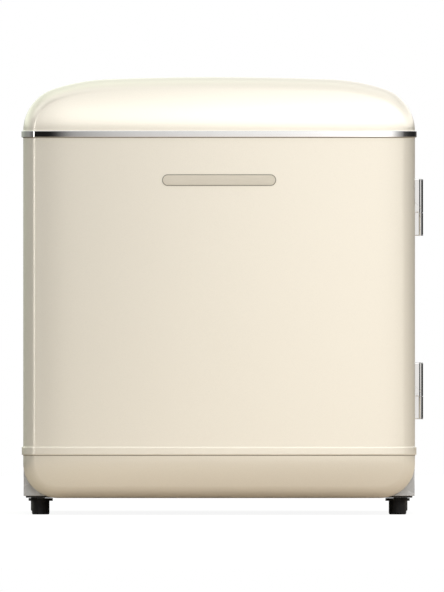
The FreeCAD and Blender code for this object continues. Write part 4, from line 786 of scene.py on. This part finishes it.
def crease_nodes():
    """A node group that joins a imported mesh's loose corners and creases only its sharp edges."""
    group = bpy.data.node_groups.new("join_and_crease", "GeometryNodeTree")
    for way in ("INPUT", "OUTPUT"):
        group.interface.new_socket("Geometry", in_out=way, socket_type="NodeSocketGeometry")
    start, end = group.nodes.new("NodeGroupInput"), group.nodes.new("NodeGroupOutput")
    join = group.nodes.new("GeometryNodeMergeByDistance")
    join.inputs["Distance"].default_value = JOIN
    angle = group.nodes.new("GeometryNodeInputMeshEdgeAngle")
    sharp = group.nodes.new("ShaderNodeMath")
    sharp.operation = "GREATER_THAN"
    sharp.inputs[1].default_value = CREASE
    normals = group.nodes.new("GeometryNodeSetMeshNormal")
    normals.mode = "SHARPNESS"
    normals.inputs["Remove Custom"].default_value = True
    group.links.new(start.outputs[0], join.inputs["Geometry"])
    group.links.new(join.outputs["Geometry"], normals.inputs["Mesh"])
    group.links.new(angle.outputs["Unsigned Angle"], sharp.inputs[0])
    group.links.new(sharp.outputs[0], normals.inputs["Edge Sharpness"])
    group.links.new(normals.outputs[0], end.inputs[0])
    return group


def soften(node, width, creases):
    """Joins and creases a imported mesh, then rounds its sharp edges by width millimetres."""
    node.modifiers.new("join_and_crease", "NODES").node_group = creases
    if width > 0:
        bevel = node.modifiers.new("ease_edges", "BEVEL")
        bevel.width = width * MM
        bevel.segments = 3 if width >= ROUND_FROM else 2
        bevel.limit_method = "ANGLE"
        bevel.angle_limit = CREASE
        bevel.use_clamp_overlap = True
    even = node.modifiers.new("even_shading", "WEIGHTED_NORMAL")
    even.keep_sharp = True


def dress_nodes():
    """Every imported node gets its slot's look and eased edges."""
    creases = crease_nodes()
    for name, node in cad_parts.items():
        packed = node.data.materials[0].name
        node.data.materials.clear()
        node.data.materials.append(LOOKS[packed.split(".")[0]])
        soften(node, BEVELS.get(name, FINE_BEVEL), creases)


# ---------------------------------------------------------------- studio
ROUND = (-180, 180)
HEIGHT = (-90, 90)
WARM_BELOW = ((-20, (1.0, 0.88, 0.74)), (6, (1.0, 1.0, 1.0)))
GREEN_LEFT = ((-110, (0.93, 1.0, 0.90)), (-60, (1.0, 1.0, 1.0)))

# Each box is (strength round the part, strength by height), as (degrees, light) stops.
# Round the part, 0 is straight in front and positive is to the right. By height, 0 is the horizon.
STUDIO_BOXES = (
    # the horizon, which the trim strip mirrors
    (
        (
            (-180, 0.42), (-140, 0.45), (-105, 0.29), (-75, 0.28), (-45, 0.12), (-38, 0.04), (-20, 0.01),
            (-11.5, 0.01), (-10, 0.03), (-8.2, 0.17), (-5, 0.62), (0, 0.88), (4, 1.05), (7, 1.45),
            (12, 1.4), (15, 0.42), (20, 0.18), (31, 0.08), (73, 0.03), (112, 0.02), (140, 0.03), (180, 0.42),
        ),
        ((-90, 0.0), (-14, 0.0), (-6, 1.0), (6, 1.0), (14, 0.0), (90, 0.0)),
    ),
    # the upper box
    (
        (
            (-180, 1.35), (-110, 1.3), (-80, 0.6), (-50, 0.42), (-20, 0.42), (-12, 0.95), (-8, 1.55),
            (-5, 2.1), (5, 2.5), (20, 2.35), (45, 2.1), (70, 1.65), (120, 1.25), (180, 1.35),
        ),
        ((-90, 0.0), (5, 0.0), (10, 1.0), (20, 0.95), (30, 0.72), (44, 0.6), (64, 0.0), (90, 0.0)),
    ),
    # a soft panel high at the left, for the dome's shoulder
    (
        ((-180, 0.0), (-95, 0.0), (-78, 0.8), (-50, 0.8), (-36, 0.0), (180, 0.0)),
        ((-90, 0.0), (22, 0.0), (32, 1.0), (48, 1.0), (60, 0.0), (90, 0.0)),
    ),
    # overhead
    (((-180, 1.0), (180, 1.0)), ((-90, 0.0), (46, 0.0), (64, 1.05), (90, 0.85))),
    # the narrow strip light at the left
    (
        ((-180, 0.0), (-36, 0.0), (-34, 3.6), (-28, 3.6), (-26, 0.0), (180, 0.0)),
        ((-90, 0.0), (-34, 0.0), (-20, 1.0), (9, 1.0), (22, 0.35), (48, 0.0), (90, 0.0)),
    ),
)


class SkyNodes:
    """The world's node tree, with short ways to give each direction its light."""

    def __init__(self, tree):
        self.tree = tree
        tree.nodes.clear()

    def add(self, kind, **values):
        node = self.tree.nodes.new(kind)
        for key, value in values.items():
            setattr(node, key, value)
        return node

    def link(self, a, b):
        self.tree.links.new(a, b)

    def math(self, operation, a, b=None):
        """A sum node; a and b are outputs or plain numbers."""
        node = self.add("ShaderNodeMath", operation=operation)
        for socket, value in zip(node.inputs, (a, b)):
            if isinstance(value, (int, float)):
                socket.default_value = value
            elif value is not None:
                self.link(value, socket)
        return node.outputs[0]

    def spread(self, value, span, colours):
        """A colour ramp over a span of degrees, from (degrees, colour) stops."""
        low, high = span
        where = self.add("ShaderNodeMapRange")
        where.inputs["From Min"].default_value = low
        where.inputs["From Max"].default_value = high
        self.link(value, where.inputs["Value"])
        node = self.add("ShaderNodeValToRGB")
        marks = node.color_ramp.elements
        while len(marks) < len(colours):
            marks.new(0.5)
        for mark, (at, colour) in zip(marks, colours):
            mark.position = (at - low) / (high - low)
            mark.color = (*colour, 1.0)
        self.link(where.outputs["Result"], node.inputs["Fac"])
        return node.outputs["Color"]

    def strength(self, value, span, stops):
        """Straight runs between (degrees, light) stops."""
        top = max(light for _, light in stops)
        greys = [(at, (light / top,) * 3) for at, light in stops]
        return self.math("MULTIPLY", self.spread(value, span, greys), top)

    def directions(self):
        """The angle round the part and the height of each direction, in degrees."""
        place = self.add("ShaderNodeTexCoord")
        parts = self.add("ShaderNodeSeparateXYZ")
        self.link(place.outputs["Generated"], parts.inputs["Vector"])
        x, y, z = parts.outputs
        degrees = 180 / math.pi
        turn = self.math("ARCTAN2", x, self.math("MULTIPLY", y, -1.0))
        lift = self.math("ARCSINE", z)
        return self.math("MULTIPLY", turn, degrees), self.math("MULTIPLY", lift, degrees)


def studio_light(sky):
    """All the soft boxes as one background light."""
    turn, lift = sky.directions()
    total = 0.0
    for around, upward in STUDIO_BOXES:
        box = sky.math("MULTIPLY", sky.strength(turn, ROUND, around), sky.strength(lift, HEIGHT, upward))
        total = sky.math("ADD", total, box)
    light = sky.add("ShaderNodeBackground")
    sky.link(total, light.inputs["Strength"])
    tint = sky.add("ShaderNodeVectorMath", operation="MULTIPLY")
    sky.link(sky.spread(lift, HEIGHT, WARM_BELOW), tint.inputs[0])
    sky.link(sky.spread(turn, ROUND, GREEN_LEFT), tint.inputs[1])
    sky.link(tint.outputs[0], light.inputs["Color"])
    return light


def studio_world():
    """A dark studio with soft boxes round the part, behind a background that looks plain white."""
    world = bpy.data.worlds.new("studio")
    bpy.context.scene.world = world
    world.use_nodes = True
    sky = SkyNodes(world.node_tree)
    light = studio_light(sky)
    white = sky.add("ShaderNodeBackground")
    white.inputs["Color"].default_value = (1, 1, 1, 1)
    path = sky.add("ShaderNodeLightPath")
    mix = sky.add("ShaderNodeMixShader")
    sky.link(path.outputs["Is Camera Ray"], mix.inputs["Fac"])
    sky.link(light.outputs[0], mix.inputs[1])
    sky.link(white.outputs[0], mix.inputs[2])
    out = sky.add("ShaderNodeOutputWorld")
    sky.link(mix.outputs[0], out.inputs["Surface"])
    world.cycles.sampling_method = "MANUAL"
    world.cycles.sample_map_resolution = 1024


FLOOR_SIZE = 9.0
FLOOR_CELLS = 6
FLOOR_GLOW = 1.08                 # so that the floor shows white
FLOOR_SHADOW = 0.16               # how much of the real shadow shows on it
DARK_TO = -0.75                   # the floor's own light grows from here, left of the part
BRIGHT_FROM = -0.15
FLOOR_DARK = (0.04, 0.036, 0.03)
FLOOR_BRIGHT = (0.62, 0.54, 0.45)


def floor_mesh():
    """A square grid at the ground."""
    verts, faces, row = [], [], FLOOR_CELLS + 1
    for i in range(row):
        for j in range(row):
            x, y = FLOOR_SIZE * (i / FLOOR_CELLS - 0.5), FLOOR_SIZE * (j / FLOOR_CELLS - 0.5)
            verts.append((x, y, 0.0))
    for i in range(FLOOR_CELLS):
        for j in range(FLOOR_CELLS):
            a = i * row + j
            faces.append((a, a + row, a + row + 1, a + 1))
    mesh = bpy.data.meshes.new("studio_floor")
    mesh.from_pydata(verts, [], faces)
    return mesh


def floor_shown(tree):
    """What the camera sees: a white glow with a little of the real shadow."""
    glow = tree.nodes.new("ShaderNodeEmission")
    glow.inputs["Strength"].default_value = FLOOR_GLOW
    lit = tree.nodes.new("ShaderNodeBsdfDiffuse")
    lit.inputs["Color"].default_value = (0.9, 0.9, 0.9, 1)
    shown = tree.nodes.new("ShaderNodeMixShader")
    shown.inputs["Fac"].default_value = FLOOR_SHADOW
    tree.links.new(glow.outputs[0], shown.inputs[1])
    tree.links.new(lit.outputs[0], shown.inputs[2])
    return shown


def floor_lighting(tree):
    """What the part sees: a warm grey floor, darker towards the left."""
    place = tree.nodes.new("ShaderNodeNewGeometry")
    split = tree.nodes.new("ShaderNodeSeparateXYZ")
    tree.links.new(place.outputs["Position"], split.inputs["Vector"])
    across = tree.nodes.new("ShaderNodeMapRange")
    across.inputs["From Min"].default_value = DARK_TO
    across.inputs["From Max"].default_value = BRIGHT_FROM
    tree.links.new(split.outputs["X"], across.inputs["Value"])
    greys = tree.nodes.new("ShaderNodeValToRGB")
    for mark, colour in zip(greys.color_ramp.elements, (FLOOR_DARK, FLOOR_BRIGHT)):
        mark.color = (*colour, 1.0)
    tree.links.new(across.outputs["Result"], greys.inputs["Fac"])
    dim = tree.nodes.new("ShaderNodeBsdfDiffuse")
    tree.links.new(greys.outputs["Color"], dim.inputs["Color"])
    return dim


def studio_floor():
    """A plain pale floor: white to the camera, dim to the part above it."""
    mesh = floor_mesh()
    floor = bpy.data.objects.new("studio_floor", mesh)
    bpy.context.scene.collection.objects.link(floor)
    look = bpy.data.materials.new("pale_floor")
    look.use_nodes = True
    tree = look.node_tree
    tree.nodes.clear()
    shown, dim = floor_shown(tree), floor_lighting(tree)
    path = tree.nodes.new("ShaderNodeLightPath")
    choose = tree.nodes.new("ShaderNodeMixShader")
    tree.links.new(path.outputs["Is Camera Ray"], choose.inputs["Fac"])
    tree.links.new(dim.outputs[0], choose.inputs[1])
    tree.links.new(shown.outputs[0], choose.inputs[2])
    out = tree.nodes.new("ShaderNodeOutputMaterial")
    tree.links.new(choose.outputs[0], out.inputs["Surface"])
    mesh.materials.append(look)


CAMERA_AWAY = 22.0                # far enough to look flat, near enough for the turned views
CAMERA_ASIDE = 3.25 * MM
FRAME_HIGH = 0.664                # what the picture's height spans at the part
AIM_HEIGHT = 0.246
SENSOR = 36.0
FAR_CLIP = 300.0


def studio_camera():
    """A long lens straight at the front."""
    data = bpy.data.cameras.new("camera")
    data.sensor_width = SENSOR
    data.lens = SENSOR * CAMERA_AWAY / FRAME_HIGH
    data.clip_end = FAR_CLIP
    camera = bpy.data.objects.new("camera", data)
    bpy.context.scene.collection.objects.link(camera)
    camera.location = (MIDDLE + CAMERA_ASIDE, FRONT - CAMERA_AWAY, AIM_HEIGHT)
    camera.rotation_euler = (math.pi / 2, 0.0, 0.0)
    bpy.context.scene.camera = camera


def main():
    dress_nodes()
    cream, bright = LOOKS["cream_paint"], LOOKS["polished_chrome"]
    door_shell(cream)
    chrome_strip(bright)
    dome_lip(cream)
    lower_rib(cream)
    # the dark beads are painted shadow lines under the strip and the band
    door_shadow_beads(shadow_line_taupe())
    door_badge(LOOKS["taupe_enamel"], badge_field())
    studio_world()
    studio_floor()
    studio_camera()
    bpy.context.scene.view_settings.view_transform = "Standard"


main()

bpy.context.view_layer.update()
